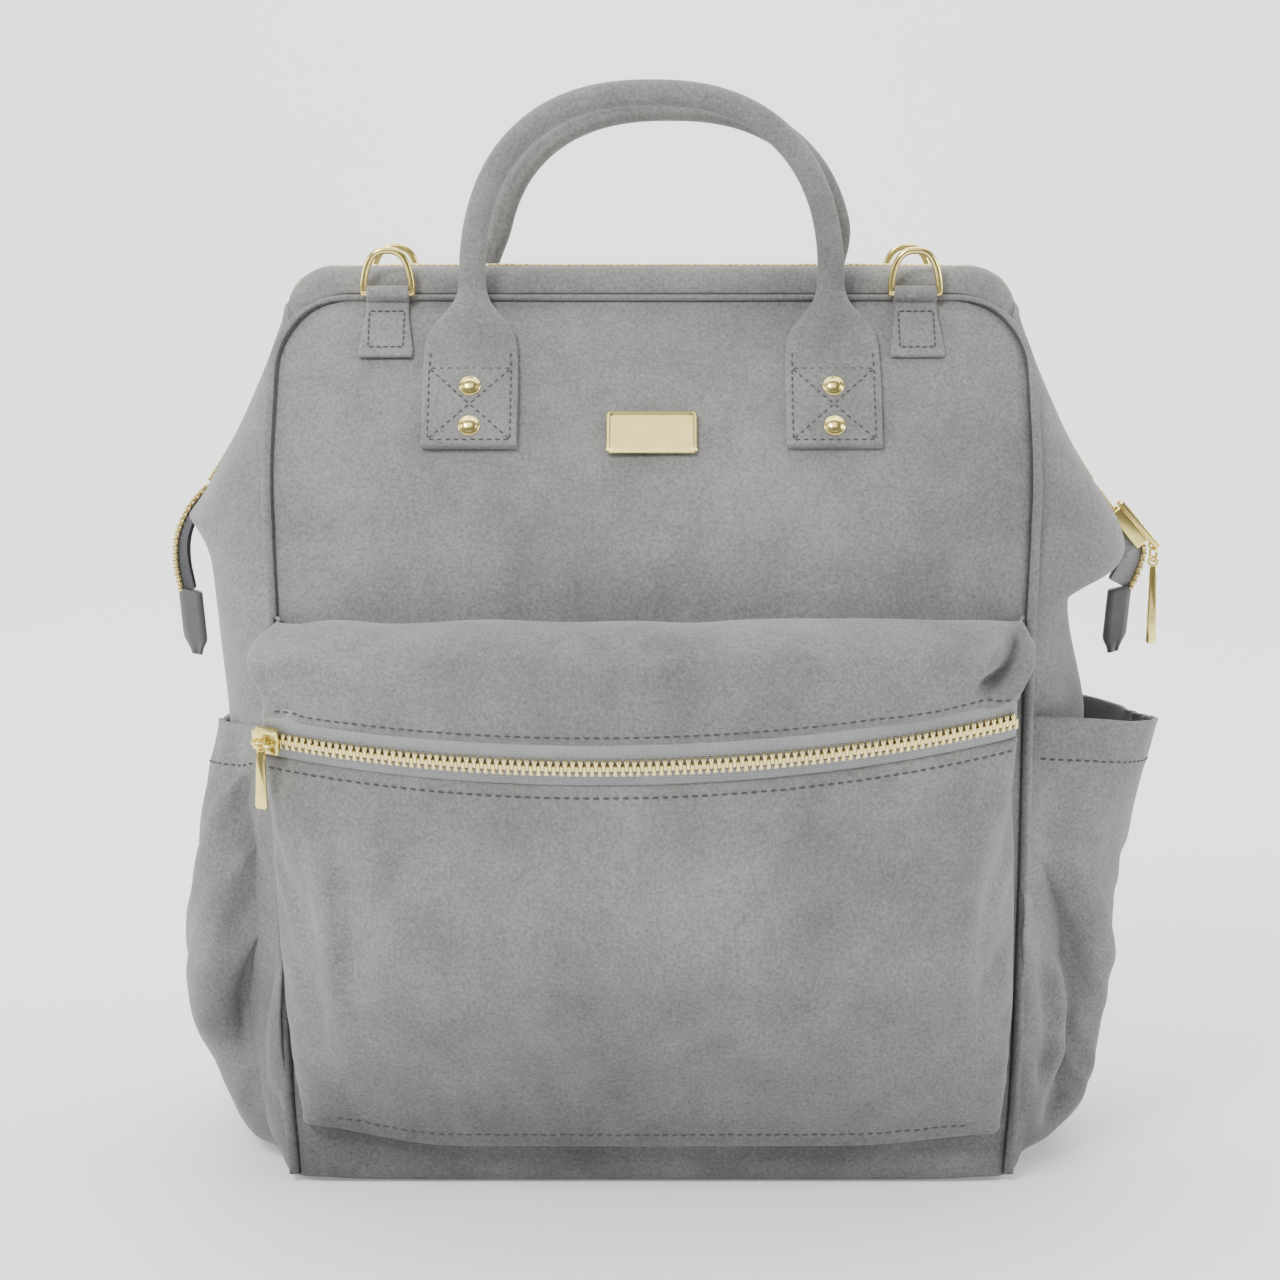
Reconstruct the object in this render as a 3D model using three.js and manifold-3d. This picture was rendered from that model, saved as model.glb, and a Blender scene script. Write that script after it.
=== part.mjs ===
// Wide-mouth diaper bag: a padded cloth tub whose sprung mouth is two steel wire
// frames hinged at the sides, zipped shut along the top, with two rolled carry handles.
// Millimetres, +Z up, +X to the bag's right as seen from the front, front towards -Y.
import * as THREE from 'three';
import { mergeVertices } from 'three/addons/utils/BufferGeometryUtils.js';
import Module from 'manifold-3d';

// ---------- driving dimensions ----------
const GAP = 0.4;                // clearance kept between neighbouring pieces
const PANEL = 3;                // padded wall: shell cloth, foam and backing
const SOFT = 2.4;               // unpadded double cloth of the upper bag
const BASE_THICK = 4;           // bottom panel
const SPLIT_Z = 252;            // height where the fixed tub ends and the folding top starts
const PIVOT_Z = 292;            // height of the mouth frame's hinge pins
const PIVOT_X = 183;            // distance of each hinge pin from the middle
const SHOULDER_R = 275;         // the zip runs down each shoulder on an arc of this radius
const SHOULDER_X = 422.5;       // centre of that arc
const SHOULDER_Z = 454.8;
const SHOULDER_TOP = 379;       // height where the arc meets the rounded top corner
const CORNER_R = 18.8;          // radius of the mouth's top corners
const FRAME_INSET = 6;          // frame wire centre, measured in from the zip line
const EYE_R = 6;                // eye at each end of a frame wire
const EYE_WIDTH = 1.8;
const PIN_R = 2;                // hinge pin's shank
const FRAME_Y = 9.5;            // frame wire centre, measured out from the mouth's plane
const WIRE_R = 2;               // frame wire radius
const BAND_HALF = 138;          // half length of the hem that carries each frame wire
const BAND_FACE = 17.5;         // outer face of that hem, measured out from the mouth's plane
const BAND_LOW = 381;           // height of that hem's lower edge
const BAND_HIGH = 395;
const HANDLE_X = 78;            // handle legs, measured from the middle
const HANDLE_R = 5.8;           // radius of the rolled handle
const HANDLE_PIVOT = { y: 24.4, z: 387 };
const HANDLE_LEAN = 10;         // how far each arch leans in over the mouth at its top
const HANDLE_RISE = { front: 82, back: 77 };
const BACK_HANDLE_SHIFT = 6;    // how far the back arch sags to the right
const ARCH_POWER = 2.4;         // superellipse exponent of the handles' arches
const TAB_HALF = 20.5;          // half width of a handle's sewn tab
const TAB_THICK = 2.6;
const RIVET_Z = { upper: 343, lower: 327 };
const PLATE_Z = 325;
const RING_X = 115;             // D-rings, measured from the middle
const RING_PIVOT = { y: 21.8, z: 383 };
const RING_WIRE_R = 1.6;
const RING_HALF = 10.6;
const RING_RISE = 18.6;
const ZIP_Z = 203;              // height of the front pocket's zip
const POCKET_SAG = 33;          // how far the pocket's front arches forward at its zip
const POCKET_W = 152;           // half span of that arch
const POCKET_ROUND = 3;         // corner radius of the pocket's sides
const POCKET_EDGE = 112;        // how far forward those corners stand at the zip
const POCKET_R = (POCKET_W ** 2 + POCKET_SAG ** 2) / (2 * POCKET_SAG);
const TEETH_HALF = 3.2;         // half width of a closed chain of zip teeth
const TEETH_THICK = 2.6;
const TAPE_DEEP = 6;            // how far the mouth's zip tape stands in from its teeth
const TAPE_HALF = 9.6;          // half of the zip tape that shows between the pocket's panels
const TAPE_SINK = 0.8;          // how far the tape's face lies behind the panels' faces
const ZIP_DIP = 0.267;          // angle by which the pocket's zip dips towards the front
const ZIP_RISE = 0.0227;        // angle by which it rises towards the right
const ZIP_SHIFT = -5;           // how far the zip sits off the bag's middle
const ZIP_TURN_Y = -127.4;      // depth of the level line that the zip is tilted about

const SUEDE = { color: 0x9a999a, roughness: 0.95, metalness: 0 };
const LINING = { color: 0x77777a, roughness: 0.9, metalness: 0 };
const TRIM = { color: 0x8d8e92, roughness: 0.75, metalness: 0 };
const GOLD = { color: 0xd8c489, roughness: 0.25, metalness: 1 };
const STEEL = { color: 0xa9abad, roughness: 0.4, metalness: 1 };
const BOARD = { color: 0x3d3d40, roughness: 0.8, metalness: 0 };

const part = new THREE.Group();
const wasm = await Module();
wasm.setup();

function add(name, geometry, look) {
  const mesh = new THREE.Mesh(geometry, new THREE.MeshStandardMaterial(look));
  mesh.name = name;
  part.add(mesh);
}

// ---------- solids ----------

// Smooth curve through [height, value] stations.
function profile(stations) {
  const slopeAt = (i) => {
    const a = stations[Math.max(i - 1, 0)];
    const b = stations[Math.min(i + 1, stations.length - 1)];
    return (b[1] - a[1]) / (b[0] - a[0]);
  };
  return (z) => {
    let i = 0;
    while (i < stations.length - 2 && z > stations[i + 1][0]) i += 1;
    const [z0, v0] = stations[i];
    const [z1, v1] = stations[i + 1];
    const span = z1 - z0;
    const t = THREE.MathUtils.clamp((z - z0) / span, 0, 1);
    const start = v0 * (1 + 2 * t) * (1 - t) ** 2 + slopeAt(i) * span * t * (1 - t) ** 2;
    const end = v1 * t * t * (3 - 2 * t) + slopeAt(i + 1) * span * t * t * (t - 1);
    return start + end;
  };
}

// Closed triangle mesh from points and faces, turned so that its faces point out.
function closedMesh(points, faces) {
  const cross = new THREE.Vector3();
  let volume = 0;
  for (const [a, b, c] of faces) volume += points[a].dot(cross.crossVectors(points[b], points[c]));
  const turned = volume > 0 ? faces : faces.map(([a, b, c]) => [a, c, b]);
  const geometry = new THREE.BufferGeometry();
  const numbers = points.flatMap((p) => [p.x, p.y, p.z]);
  geometry.setAttribute('position', new THREE.Float32BufferAttribute(numbers, 3));
  geometry.setIndex(turned.flat());
  geometry.computeVertexNormals();
  return geometry;
}

// Triangles that fill a flat outline, turned the way its points run.
function flatCap(outline) {
  const clockwise = THREE.ShapeUtils.isClockWise(outline);
  return THREE.ShapeUtils.triangulateShape(outline, []).map(([a, b, c]) => {
    const forward = new THREE.Vector2().subVectors(outline[b], outline[a])
      .cross(new THREE.Vector2().subVectors(outline[c], outline[a])) > 0;
    return forward === !clockwise ? [a, b, c] : [a, c, b];
  });
}

// Solid through a row of rings, each with the same number of points, with a cap at both ends.
function loft(rings, cap) {
  const size = rings[0].length;
  const points = rings.flat();
  const faces = [];
  for (let row = 0; row < rings.length - 1; row += 1) {
    for (let i = 0; i < size; i += 1) {
      const j = (i + 1) % size;
      const a = row * size;
      const b = a + size;
      faces.push([a + i, a + j, b + j], [a + i, b + j, b + i]);
    }
  }
  const last = (rings.length - 1) * size;
  for (const [a, b, c] of cap) faces.push([a, c, b], [last + a, last + b, last + c]);
  return closedMesh(points, faces);
}

// Thick sheet between an outer and an inner face, each a function of u and v from 0 to 1.
function sheet(outer, inner, columns, rows) {
  const shares = Array.from({ length: columns + 1 }, (_, i) => i / columns);
  const rings = [];
  for (let row = 0; row <= rows; row += 1) {
    const v = row / rows;
    const front = shares.map((u) => outer(u, v));
    const back = shares.map((u) => inner(u, v)).reverse();
    rings.push([...front, ...back]);
  }
  const cap = [];
  for (let i = 0; i < columns; i += 1) {
    const across = 2 * columns + 1 - i;
    cap.push([i, i + 1, across - 1], [i, across - 1, across]);
  }
  return loft(rings, cap);
}

// Plate of a given thickness from an outline in X and Y.
function extrude(outline, depth) {
  const shape = new THREE.Shape(outline.map(([a, b]) => new THREE.Vector2(a, b)));
  return new THREE.ExtrudeGeometry(shape, { depth, bevelEnabled: false });
}

function toSolid(geometry) {
  const bare = geometry.index ? geometry.clone() : geometry;
  bare.deleteAttribute('normal');
  bare.deleteAttribute('uv');
  const merged = mergeVertices(bare, 1e-4);
  return new wasm.Manifold(new wasm.Mesh({
    numProp: 3,
    vertProperties: new Float32Array(merged.attributes.position.array),
    triVerts: new Uint32Array(merged.index.array),
  }));
}

function toGeometry(solid) {
  const mesh = solid.getMesh();
  const geometry = new THREE.BufferGeometry();
  geometry.setAttribute('position', new THREE.Float32BufferAttribute(mesh.vertProperties, 3));
  geometry.setIndex(new THREE.Uint32BufferAttribute(mesh.triVerts, 1));
  geometry.computeVertexNormals();
  return geometry;
}

function join(...pieces) {
  return toGeometry(pieces.map(toSolid).reduce((whole, next) => whole.add(next)));
}

function cut(body, tool) {
  return toGeometry(toSolid(body).subtract(toSolid(tool)));
}

function box(x0, x1, y0, y1, z0, z1) {
  const geometry = new THREE.BoxGeometry(x1 - x0, y1 - y0, z1 - z0);
  return geometry.translate((x0 + x1) / 2, (y0 + y1) / 2, (z0 + z1) / 2);
}

function mirrored(geometry, axis) {
  const copy = geometry.clone();
  copy.scale(axis === 'x' ? -1 : 1, axis === 'y' ? -1 : 1, 1);
  const index = copy.index.array;
  for (let i = 0; i < index.length; i += 3) [index[i], index[i + 1]] = [index[i + 1], index[i]];
  copy.computeVertexNormals();
  return copy;
}

// ---------- the bag's outer shape ----------
// Every level section is a superellipse. Its 45 degree points are the four upright
// seams, where the front and back panels meet the side gussets.

const lowerReach = profile([
  [0, 165], [20, 175.5], [80, 186], [200, 188], [240, 186], [254, 190], [268, 203], [285, 206.2],
]);
const seamX = profile([
  [0, 155], [40, 157], [120, 159], [240, 160.5], [300, 164], [340, 163], [362, 158], [380, 146], [392, 136],
]);
const crownY = profile([
  [0, 84], [30, 90], [120, 94], [220, 93], [260, 88], [300, 72], [340, 48], [370, 26], [381, 17.8], [392, 16],
]);

function shoulderX(z) {
  return SHOULDER_X - Math.sqrt(SHOULDER_R ** 2 - (z - SHOULDER_Z) ** 2);
}

// Centre of the mouth's top corner, tangent to the shoulder arc at SHOULDER_TOP.
const shoulderTopX = shoulderX(SHOULDER_TOP);
const toCentre = new THREE.Vector2(SHOULDER_X - shoulderTopX, SHOULDER_Z - SHOULDER_TOP).normalize();
const CORNER_X = shoulderTopX - CORNER_R * toCentre.x;
const CORNER_Z = SHOULDER_TOP - CORNER_R * toCentre.y;
const TOP_Z = CORNER_Z + CORNER_R;

function sideReach(z) {
  if (z < 285) return lowerReach(z);
  if (z < SHOULDER_TOP) return shoulderX(z);
  return CORNER_X + Math.sqrt(CORNER_R ** 2 - (z - CORNER_Z) ** 2);
}

// The section at height z, moved in by inset: half width, half depth, seam and exponent.
function section(z, inset) {
  const corner = seamX(z) / sideReach(z);
  const reach = sideReach(z) - inset;
  return { reach, depth: crownY(z) - inset, seam: reach * corner, power: Math.log(0.5) / Math.log(corner) };
}

// Point of the front (-1) or back (1) panel, across from seam to seam as u goes 0 to 1.
function panelPoint(side, x, z, inset) {
  const s = section(z, inset);
  const y = s.depth * (1 - Math.abs(x / s.reach) ** s.power) ** (1 / s.power);
  return new THREE.Vector3(x, side * y, z);
}

// Point of the left (-1) or right (1) gusset at a share v of the half depth of its seam.
function gussetPoint(side, v, z, inset) {
  const s = section(z, inset);
  const y = v * s.depth * (s.seam / s.reach);
  const x = s.reach * (1 - Math.abs(y / s.depth) ** s.power) ** (1 / s.power);
  return new THREE.Vector3(side * x, y, z);
}

// Front or back wall between two heights.
function panel(side, z0, z1, thick, rows) {
  const face = (inset) => (u, v) => {
    const z = THREE.MathUtils.lerp(z0, z1, v);
    const half = section(z, inset).seam - GAP;
    return panelPoint(side, (2 * u - 1) * half, z, inset);
  };
  return sheet(face(0), face(thick), 14, rows);
}

// Outline of the whole section at height z, as points in order.
function ringPoints(z, inset, steps) {
  const corner = section(z, inset);
  const shares = Array.from({ length: steps }, (_, i) => (2 * i) / steps - 1);
  return [
    ...shares.map((v) => gussetPoint(1, v, z, inset)),
    ...shares.map((v) => panelPoint(1, -v * corner.seam, z, inset)),
    ...shares.map((v) => gussetPoint(-1, -v, z, inset)),
    ...shares.map((v) => panelPoint(-1, v * corner.seam, z, inset)),
  ];
}

// Flat plate with the bag's own level section.
function levelPlate(z0, z1, inset) {
  const shape = new THREE.Shape(ringPoints(z0, inset, 8).map((p) => new THREE.Vector2(p.x, p.y)));
  return new THREE.ExtrudeGeometry(shape, { depth: z1 - z0, bevelEnabled: false }).translate(0, 0, z0);
}

// ---------- fixed tub ----------

// Side wall of the tub.
function lowerGusset(side) {
  const face = (inset) => (u, v) => {
    const z = THREE.MathUtils.lerp(BASE_THICK + GAP, SPLIT_Z, v);
    return gussetPoint(side, (2 * u - 1) * 0.985, z, inset);
  };
  return sheet(face(0), face(PANEL), 10, 8);
}

// Cloth lining: an open tub just inside the walls, above the base board.
function liningTub(floorZ, topZ, inset, thick) {
  const rows = 5;
  const rings = [];
  for (let row = rows; row >= 0; row -= 1) {
    rings.push(ringPoints(THREE.MathUtils.lerp(floorZ, topZ, row / rows), inset, 8));
  }
  for (let row = 0; row <= rows; row += 1) {
    rings.push(ringPoints(THREE.MathUtils.lerp(floorZ + thick, topZ, row / rows), inset + thick, 8));
  }
  const size = rings[0].length;
  const points = rings.flat();
  const faces = [];
  const bridge = (a, b) => {
    for (let i = 0; i < size; i += 1) {
      const j = (i + 1) % size;
      faces.push([a * size + i, a * size + j, b * size + j], [a * size + i, b * size + j, b * size + i]);
    }
  };
  for (let row = 0; row < rings.length - 1; row += 1) {
    if (row !== rows) bridge(row, row + 1);
  }
  bridge(rings.length - 1, 0);
  const fan = (row, up) => {
    const centre = points.length;
    const z = points[row * size].z;
    points.push(new THREE.Vector3(0, 0, z));
    for (let i = 0; i < size; i += 1) {
      const j = (i + 1) % size;
      const a = row * size + i;
      const b = row * size + j;
      faces.push(up ? [centre, a, b] : [centre, b, a]);
    }
  };
  fan(rows, true);
  fan(rows + 1, false);
  return closedMesh(points, faces);
}

const BOARD_THICK = 2.5;
const BOARD_INSET = 9;          // from the shell's outer face to the board's rim
const LINING_INSET = PANEL + 2.6;
const LINING_THICK = 0.8;
const LINING_TOP = SPLIT_Z - 4;
const boardTop = BASE_THICK + GAP + BOARD_THICK;
add('base_panel', levelPlate(0, BASE_THICK, 0), SUEDE);
add('base_board', levelPlate(BASE_THICK + GAP, boardTop, BOARD_INSET), BOARD);
add('inner_lining', liningTub(boardTop + GAP, LINING_TOP, LINING_INSET, LINING_THICK), LINING);
add('front_panel', panel(-1, BASE_THICK + GAP, SPLIT_Z, PANEL, 8), SUEDE);
add('back_panel', panel(1, BASE_THICK + GAP, SPLIT_Z, PANEL, 8), SUEDE);
add('gusset_left', lowerGusset(-1), SUEDE);
add('gusset_right', mirrored(lowerGusset(-1), 'x'), SUEDE);

// ---------- front pocket ----------
// In plan its front is an arc between two rounded corners, so the zip runs on a circle.

const pocketHalf = profile([[26, 151], [100, 154], [160, 156.5], [ZIP_Z, 158], [251, 157]]);
const pocketEdge = profile([[26, 93], [60, 101], [130, 109], [ZIP_Z, POCKET_EDGE], [235, 108], [251, 94]]);
const pocketCrown = profile([[26, 6], [60, 18], [130, 30], [ZIP_Z, POCKET_SAG], [235, 21], [251, 2]]);
const POCKET_BACK_Y = 86;       // where the pocket's side walls meet the front panel's seam
const POCKET_FOOT = 26;
const POCKET_TOP = 251;

// The arch's height at a distance from its middle, 1 there and 0 at POCKET_W.
function archShare(x) {
  const rise = Math.sqrt(POCKET_R ** 2 - x ** 2);
  return (rise - (POCKET_R - POCKET_SAG)) / POCKET_SAG;
}

// Points round the pocket's plan outline at height z: side wall, corner, arch, corner, side wall.
function pocketOutline(z, inset, withSides) {
  const half = pocketHalf(z) - inset;
  const edge = pocketEdge(z) - inset;
  const round = POCKET_ROUND - Math.min(inset, POCKET_ROUND / 2);
  const front = (x) => edge + pocketCrown(z) * archShare(x);
  const cornerY = front(half - round) - round;
  const right = [];
  if (withSides) {
    right.push([half, POCKET_BACK_Y]);
    for (let i = 0; i < 3; i += 1) {
      const angle = (i * Math.PI) / 6;
      right.push([half - round + round * Math.cos(angle), cornerY + round * Math.sin(angle)]);
    }
  }
  const arch = [];
  for (let i = 0; i <= 16; i += 1) {
    const x = (1 - i / 8) * (half - round);
    arch.push([x, front(x)]);
  }
  const left = right.map(([x, y]) => [-x, y]).reverse();
  return [...right, ...arch, ...left].map(([x, y]) => new THREE.Vector3(x, -y, z));
}

// Takes the zip from a level circle to its tilted place.
const ZIP_TILT = new THREE.Matrix4().makeTranslation(ZIP_SHIFT, ZIP_TURN_Y, ZIP_Z)
  .multiply(new THREE.Matrix4().makeRotationY(-ZIP_RISE))
  .multiply(new THREE.Matrix4().makeRotationX(ZIP_DIP))
  .multiply(new THREE.Matrix4().makeTranslation(0, -ZIP_TURN_Y, -ZIP_Z));

// The cloth follows the zip's tilt beside the tape, and none of it at the pocket's foot and top.
function tilted(point) {
  const low = ZIP_Z - TAPE_HALF - GAP;
  const high = ZIP_Z + TAPE_HALF + GAP;
  const beside = new THREE.Vector3(point.x, point.y, THREE.MathUtils.clamp(point.z, low, high));
  const shift = beside.clone().applyMatrix4(ZIP_TILT).sub(beside);
  const below = THREE.MathUtils.smoothstep(point.z, POCKET_FOOT, low);
  const above = 1 - THREE.MathUtils.smoothstep(point.z, high, POCKET_TOP);
  return point.clone().addScaledVector(shift, below * above);
}

// Cloth of the front pocket between two heights, its faces moved in by outset and inset.
function pocketSheet(z0, z1, outset, inset, rows, withSides = true) {
  const columns = pocketOutline(z0, 0, withSides).length - 1;
  const face = (depth) => (u, v) => {
    const z = THREE.MathUtils.lerp(z0, z1, v);
    return tilted(pocketOutline(z, depth, withSides)[Math.round(u * columns)]);
  };
  return sheet(face(outset), face(inset), columns, rows);
}

add('front_pocket_panel', pocketSheet(POCKET_FOOT, ZIP_Z - TAPE_HALF - GAP, 0, SOFT, 6), SUEDE);
add('front_pocket_top', pocketSheet(ZIP_Z + TAPE_HALF + GAP, POCKET_TOP, 0, SOFT, 4), SUEDE);
add('front_pocket_zip_tape', pocketSheet(ZIP_Z - TAPE_HALF, ZIP_Z + TAPE_HALF, TAPE_SINK, 2, 1), TRIM);
add('front_pocket_zip_teeth',
  pocketSheet(ZIP_Z - TEETH_HALF, ZIP_Z + TEETH_HALF, 0.4 - TEETH_THICK, 0.4, 1, false), GOLD);

// ---------- side pockets ----------

const SIDE_STAND = 1.2;
const SIDE_SPAN = 0.93;         // share of the gusset's width that a side pocket takes
const pocketSwell = profile([[6, 0], [30, 11], [67, 17], [120, 16], [160, 19], [200, 26]]);

// Bulging patch on a gusset, standing a little off it all round.
function sidePocket(side, z0, z1, inner, outer, rows) {
  const face = (extra) => (u, v) => {
    const z = THREE.MathUtils.lerp(z0, z1, v);
    const share = 2 * u - 1;
    const stand = SIDE_STAND + pocketSwell(z) * (1 - share ** 4);
    return gussetPoint(side, share * SIDE_SPAN, z, -(stand + extra));
  };
  return sheet(face(outer), face(inner), 14, rows);
}

const SIDE_FOOT = 6;
const HEM_LOW = 188;
const HEM_HIGH = 200;
const pocketBody = sidePocket(-1, SIDE_FOOT, HEM_LOW, 0, SOFT, 7);
const pocketHem = sidePocket(-1, HEM_LOW + GAP, HEM_HIGH, 0, SOFT + 0.8, 1);
add('side_pocket_left', pocketBody, SUEDE);
add('side_pocket_right', mirrored(pocketBody, 'x'), SUEDE);
add('side_pocket_hem_left', pocketHem, SUEDE);
add('side_pocket_hem_right', mirrored(pocketHem, 'x'), SUEDE);

// ---------- zip line of the mouth ----------

// Point of the right shoulder at height z and its outward direction, in the mouth's plane.
function ridge(z) {
  const x = shoulderX(z);
  const out = new THREE.Vector2(SHOULDER_X - x, SHOULDER_Z - z).normalize();
  return { x, z, out };
}

// Stations of the whole mouth line from the left shoulder's foot over the top to the right one.
function mouthLine(footZ) {
  const stations = [];
  for (let i = 0; i <= 5; i += 1) stations.push(ridge(THREE.MathUtils.lerp(footZ, SHOULDER_TOP, i / 5)));
  const first = Math.PI / 30 - Math.atan2(toCentre.y, toCentre.x);
  for (let i = 1; i <= 5; i += 1) {
    const angle = THREE.MathUtils.lerp(first, Math.PI / 2, i / 5);
    const out = new THREE.Vector2(Math.cos(angle), Math.sin(angle));
    stations.push({ x: CORNER_X + CORNER_R * out.x, z: CORNER_Z + CORNER_R * out.y, out });
  }
  const left = stations.map(({ x, z, out }) => ({ x: -x, z, out: new THREE.Vector2(-out.x, out.y) }));
  return [...left, ...stations.reverse()];
}

// Solid of one outline carried along stations, its first number measured outwards.
function sweep(stations, outline) {
  const ring = ({ x, z, out }) => (
    outline.map((p) => new THREE.Vector3(x + out.x * p.x, p.y, z + out.y * p.x))
  );
  return loft(stations.map(ring), flatCap(outline));
}

// One half of the mouth's zip: its teeth, and the tape standing inwards from them.
const FOOT_Z = PIVOT_Z + 6;
const TAPE_FACE = 1.4;          // half thickness of the two tapes together, hanging in from the teeth
const HALF_GAP = 0.2;           // from the mouth's plane to each half
const zipHalfOutline = [
  [TEETH_THICK, -HALF_GAP], [TEETH_THICK, -TEETH_HALF], [0, -TEETH_HALF],
  [0, -TAPE_FACE], [-TAPE_DEEP, -TAPE_FACE], [-TAPE_DEEP, -HALF_GAP],
].map(([n, y]) => new THREE.Vector2(n, y));
const frontZip = sweep(mouthLine(FOOT_Z), zipHalfOutline);

// The zip's two ends below the hinge pins, where both halves stay together and hang free.
const tailOutline = [
  [TEETH_THICK, TEETH_HALF], [TEETH_THICK, -TEETH_HALF], [0, -TEETH_HALF], [0, -TAPE_FACE],
  [-TAPE_DEEP, -TAPE_FACE], [-TAPE_DEEP, TAPE_FACE], [0, TAPE_FACE], [0, TEETH_HALF],
].map(([n, y]) => new THREE.Vector2(n, y));

// Closed end of the zip along a curve in the mouth's plane.
function tail(side, points) {
  const curve = new THREE.CatmullRomCurve3(points.map(([x, z]) => new THREE.Vector3(side * x, 0, z)));
  const steps = 14;
  const stations = [];
  for (let i = 0; i <= steps; i += 1) {
    const at = curve.getPointAt(i / steps);
    const along = curve.getTangentAt(i / steps);
    stations.push({ x: at.x, z: at.z, out: new THREE.Vector2(-side * along.z, side * along.x) });
  }
  return sweep(stations, tailOutline);
}

const TAIL_TOP = PIVOT_Z + 3.5;
const shoulderPoint = (z) => [shoulderX(z), z];
const rightTail = [
  ...[TAIL_TOP, 288, 280, 272, 268].map(shoulderPoint),
  [220, 262], [217.5, 255], [215, 250],
];
const leftTail = [shoulderPoint(TAIL_TOP), [206.5, 286], [212, 274], [213, 262], [211, 249]];
add('zip_tail_right', tail(1, rightTail), TRIM);
add('zip_tail_left', tail(-1, leftTail), TRIM);

// Folded tab sewn over each free end of the zip.
function endTab(side, x, top, tilt) {
  const half = 5.4;
  const thick = 7.2;
  const tab = extrude([[-half, 0], [half, 0], [half, -22], [1.5, -29], [-1.5, -29], [-half, -22]], thick);
  return tab.translate(0, 0, -thick / 2).rotateX(Math.PI / 2).rotateY(tilt).translate(side * x, 0, top);
}

add('zip_end_tab_right', endTab(1, 210.5, 249, -0.1), TRIM);
add('zip_end_tab_left', endTab(-1, 207, 248, -0.1), TRIM);

// ---------- mouth frame ----------

// Round bar along a curve.
function alongRoute(shape, route, steps, curveSegments) {
  return new THREE.ExtrudeGeometry(shape, { extrudePath: route, steps, curveSegments, bevelEnabled: false });
}

// Half of the frame: a wire from pin to pin, flattened to an eye at each end.
function frameWire(legX, eyeX) {
  const line = mouthLine(PIVOT_Z + 16).map(({ x, z, out }) => (
    new THREE.Vector3(x - out.x * FRAME_INSET, -FRAME_Y, z - out.y * FRAME_INSET)
  ));
  const foot = (side) => [
    new THREE.Vector3(side * legX, -0.5, PIVOT_Z + 5.4),
    new THREE.Vector3(side * (legX + 0.2), -5, PIVOT_Z + 10),
  ];
  const route = new THREE.CatmullRomCurve3([...foot(-1), ...line, ...foot(1).reverse()]);
  const round = new THREE.Shape().absarc(0, 0, WIRE_R, 0, 2 * Math.PI);
  const wire = alongRoute(round, route, 44, 4);
  const eye = (side) => new THREE.CylinderGeometry(EYE_R, EYE_R, EYE_WIDTH, 20)
    .rotateZ(Math.PI / 2).translate(side * eyeX, 0, PIVOT_Z);
  return cut(join(wire, eye(-1), eye(1)), eyeBores(eyeX));
}

// The pin's bore through each of a wire's two eyes.
function eyeBores(eyeX) {
  const bore = (side) => new THREE.CylinderGeometry(PIN_R + GAP, PIN_R + GAP, 2 * EYE_WIDTH, 16)
    .rotateZ(Math.PI / 2).translate(side * eyeX, 0, PIVOT_Z);
  return toGeometry(toSolid(bore(-1)).add(toSolid(bore(1))));
}

// Hinge pin: a shank with a head at each end, through both wires' eyes.
function framePin(side) {
  const headR = 3.4;
  const end = 4.2;
  const neck = 2.7;
  const halfOutline = [[0, end], [headR, end], [headR, neck], [PIN_R, neck]];
  const outline = [...halfOutline.map(([r, h]) => [r, -h]), ...halfOutline.reverse()]
    .map(([r, h]) => new THREE.Vector2(r, h));
  return new THREE.LatheGeometry(outline, 12).rotateZ(Math.PI / 2).translate(side * PIVOT_X, 0, PIVOT_Z);
}

add('frame_pin_left', framePin(-1), STEEL);
add('frame_pin_right', framePin(1), STEEL);

// Hem along the top edge: a folded channel, open below, that the frame wire runs in.
function topBand() {
  const cloth = 1.8;
  const inner = -3.8;
  const outer = -BAND_FACE;
  const innerLow = BAND_LOW + 0.6;
  const ceiling = BAND_HIGH - cloth;
  const outline = [
    [outer, BAND_LOW], [outer, BAND_HIGH - 2], [outer + 1.5, BAND_HIGH], [inner - 2.2, BAND_HIGH],
    [inner, BAND_HIGH - 1.5], [inner, innerLow], [inner - cloth, innerLow], [inner - cloth, ceiling - 0.6],
    [inner - cloth - 1.4, ceiling], [outer + cloth + 1.2, ceiling], [outer + cloth, ceiling - 1.2],
    [outer + cloth, BAND_LOW],
  ].map(([y, z]) => new THREE.Vector2(y, z));
  const ring = (x) => outline.map((p) => new THREE.Vector3(x, p.x, p.y));
  return loft([ring(-BAND_HALF), ring(BAND_HALF)], flatCap(outline));
}

// Soft side of one half of the mouth, from the tub's gusset up to the zip.
function upperGusset(side) {
  const face = (inset) => (u, v) => {
    const z = THREE.MathUtils.lerp(SPLIT_Z + GAP, TOP_Z - 5, v);
    const s = section(z, inset);
    const edge = 6 / (s.depth * (s.seam / s.reach));
    return gussetPoint(side, -THREE.MathUtils.lerp(0.975, edge, u), z, inset);
  };
  return sheet(face(0), face(SOFT), 5, 11);
}

// ---------- things sewn on the mouth's panels ----------

// Flat piece lying on the front panel: half width as a function of height.
function applique(x, z0, z1, halfWidth, thick, rows) {
  const face = (lift) => (u, v) => {
    const z = THREE.MathUtils.lerp(z0, z1, v);
    return panelPoint(-1, x + (2 * u - 1) * halfWidth(z), z, -lift);
  };
  return sheet(face(GAP + thick), face(GAP), 4, rows);
}

const TAB_BOTTOM = 319;
const TAB_SHOULDER = 350;       // the tab is straight below this height and narrows above it

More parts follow.
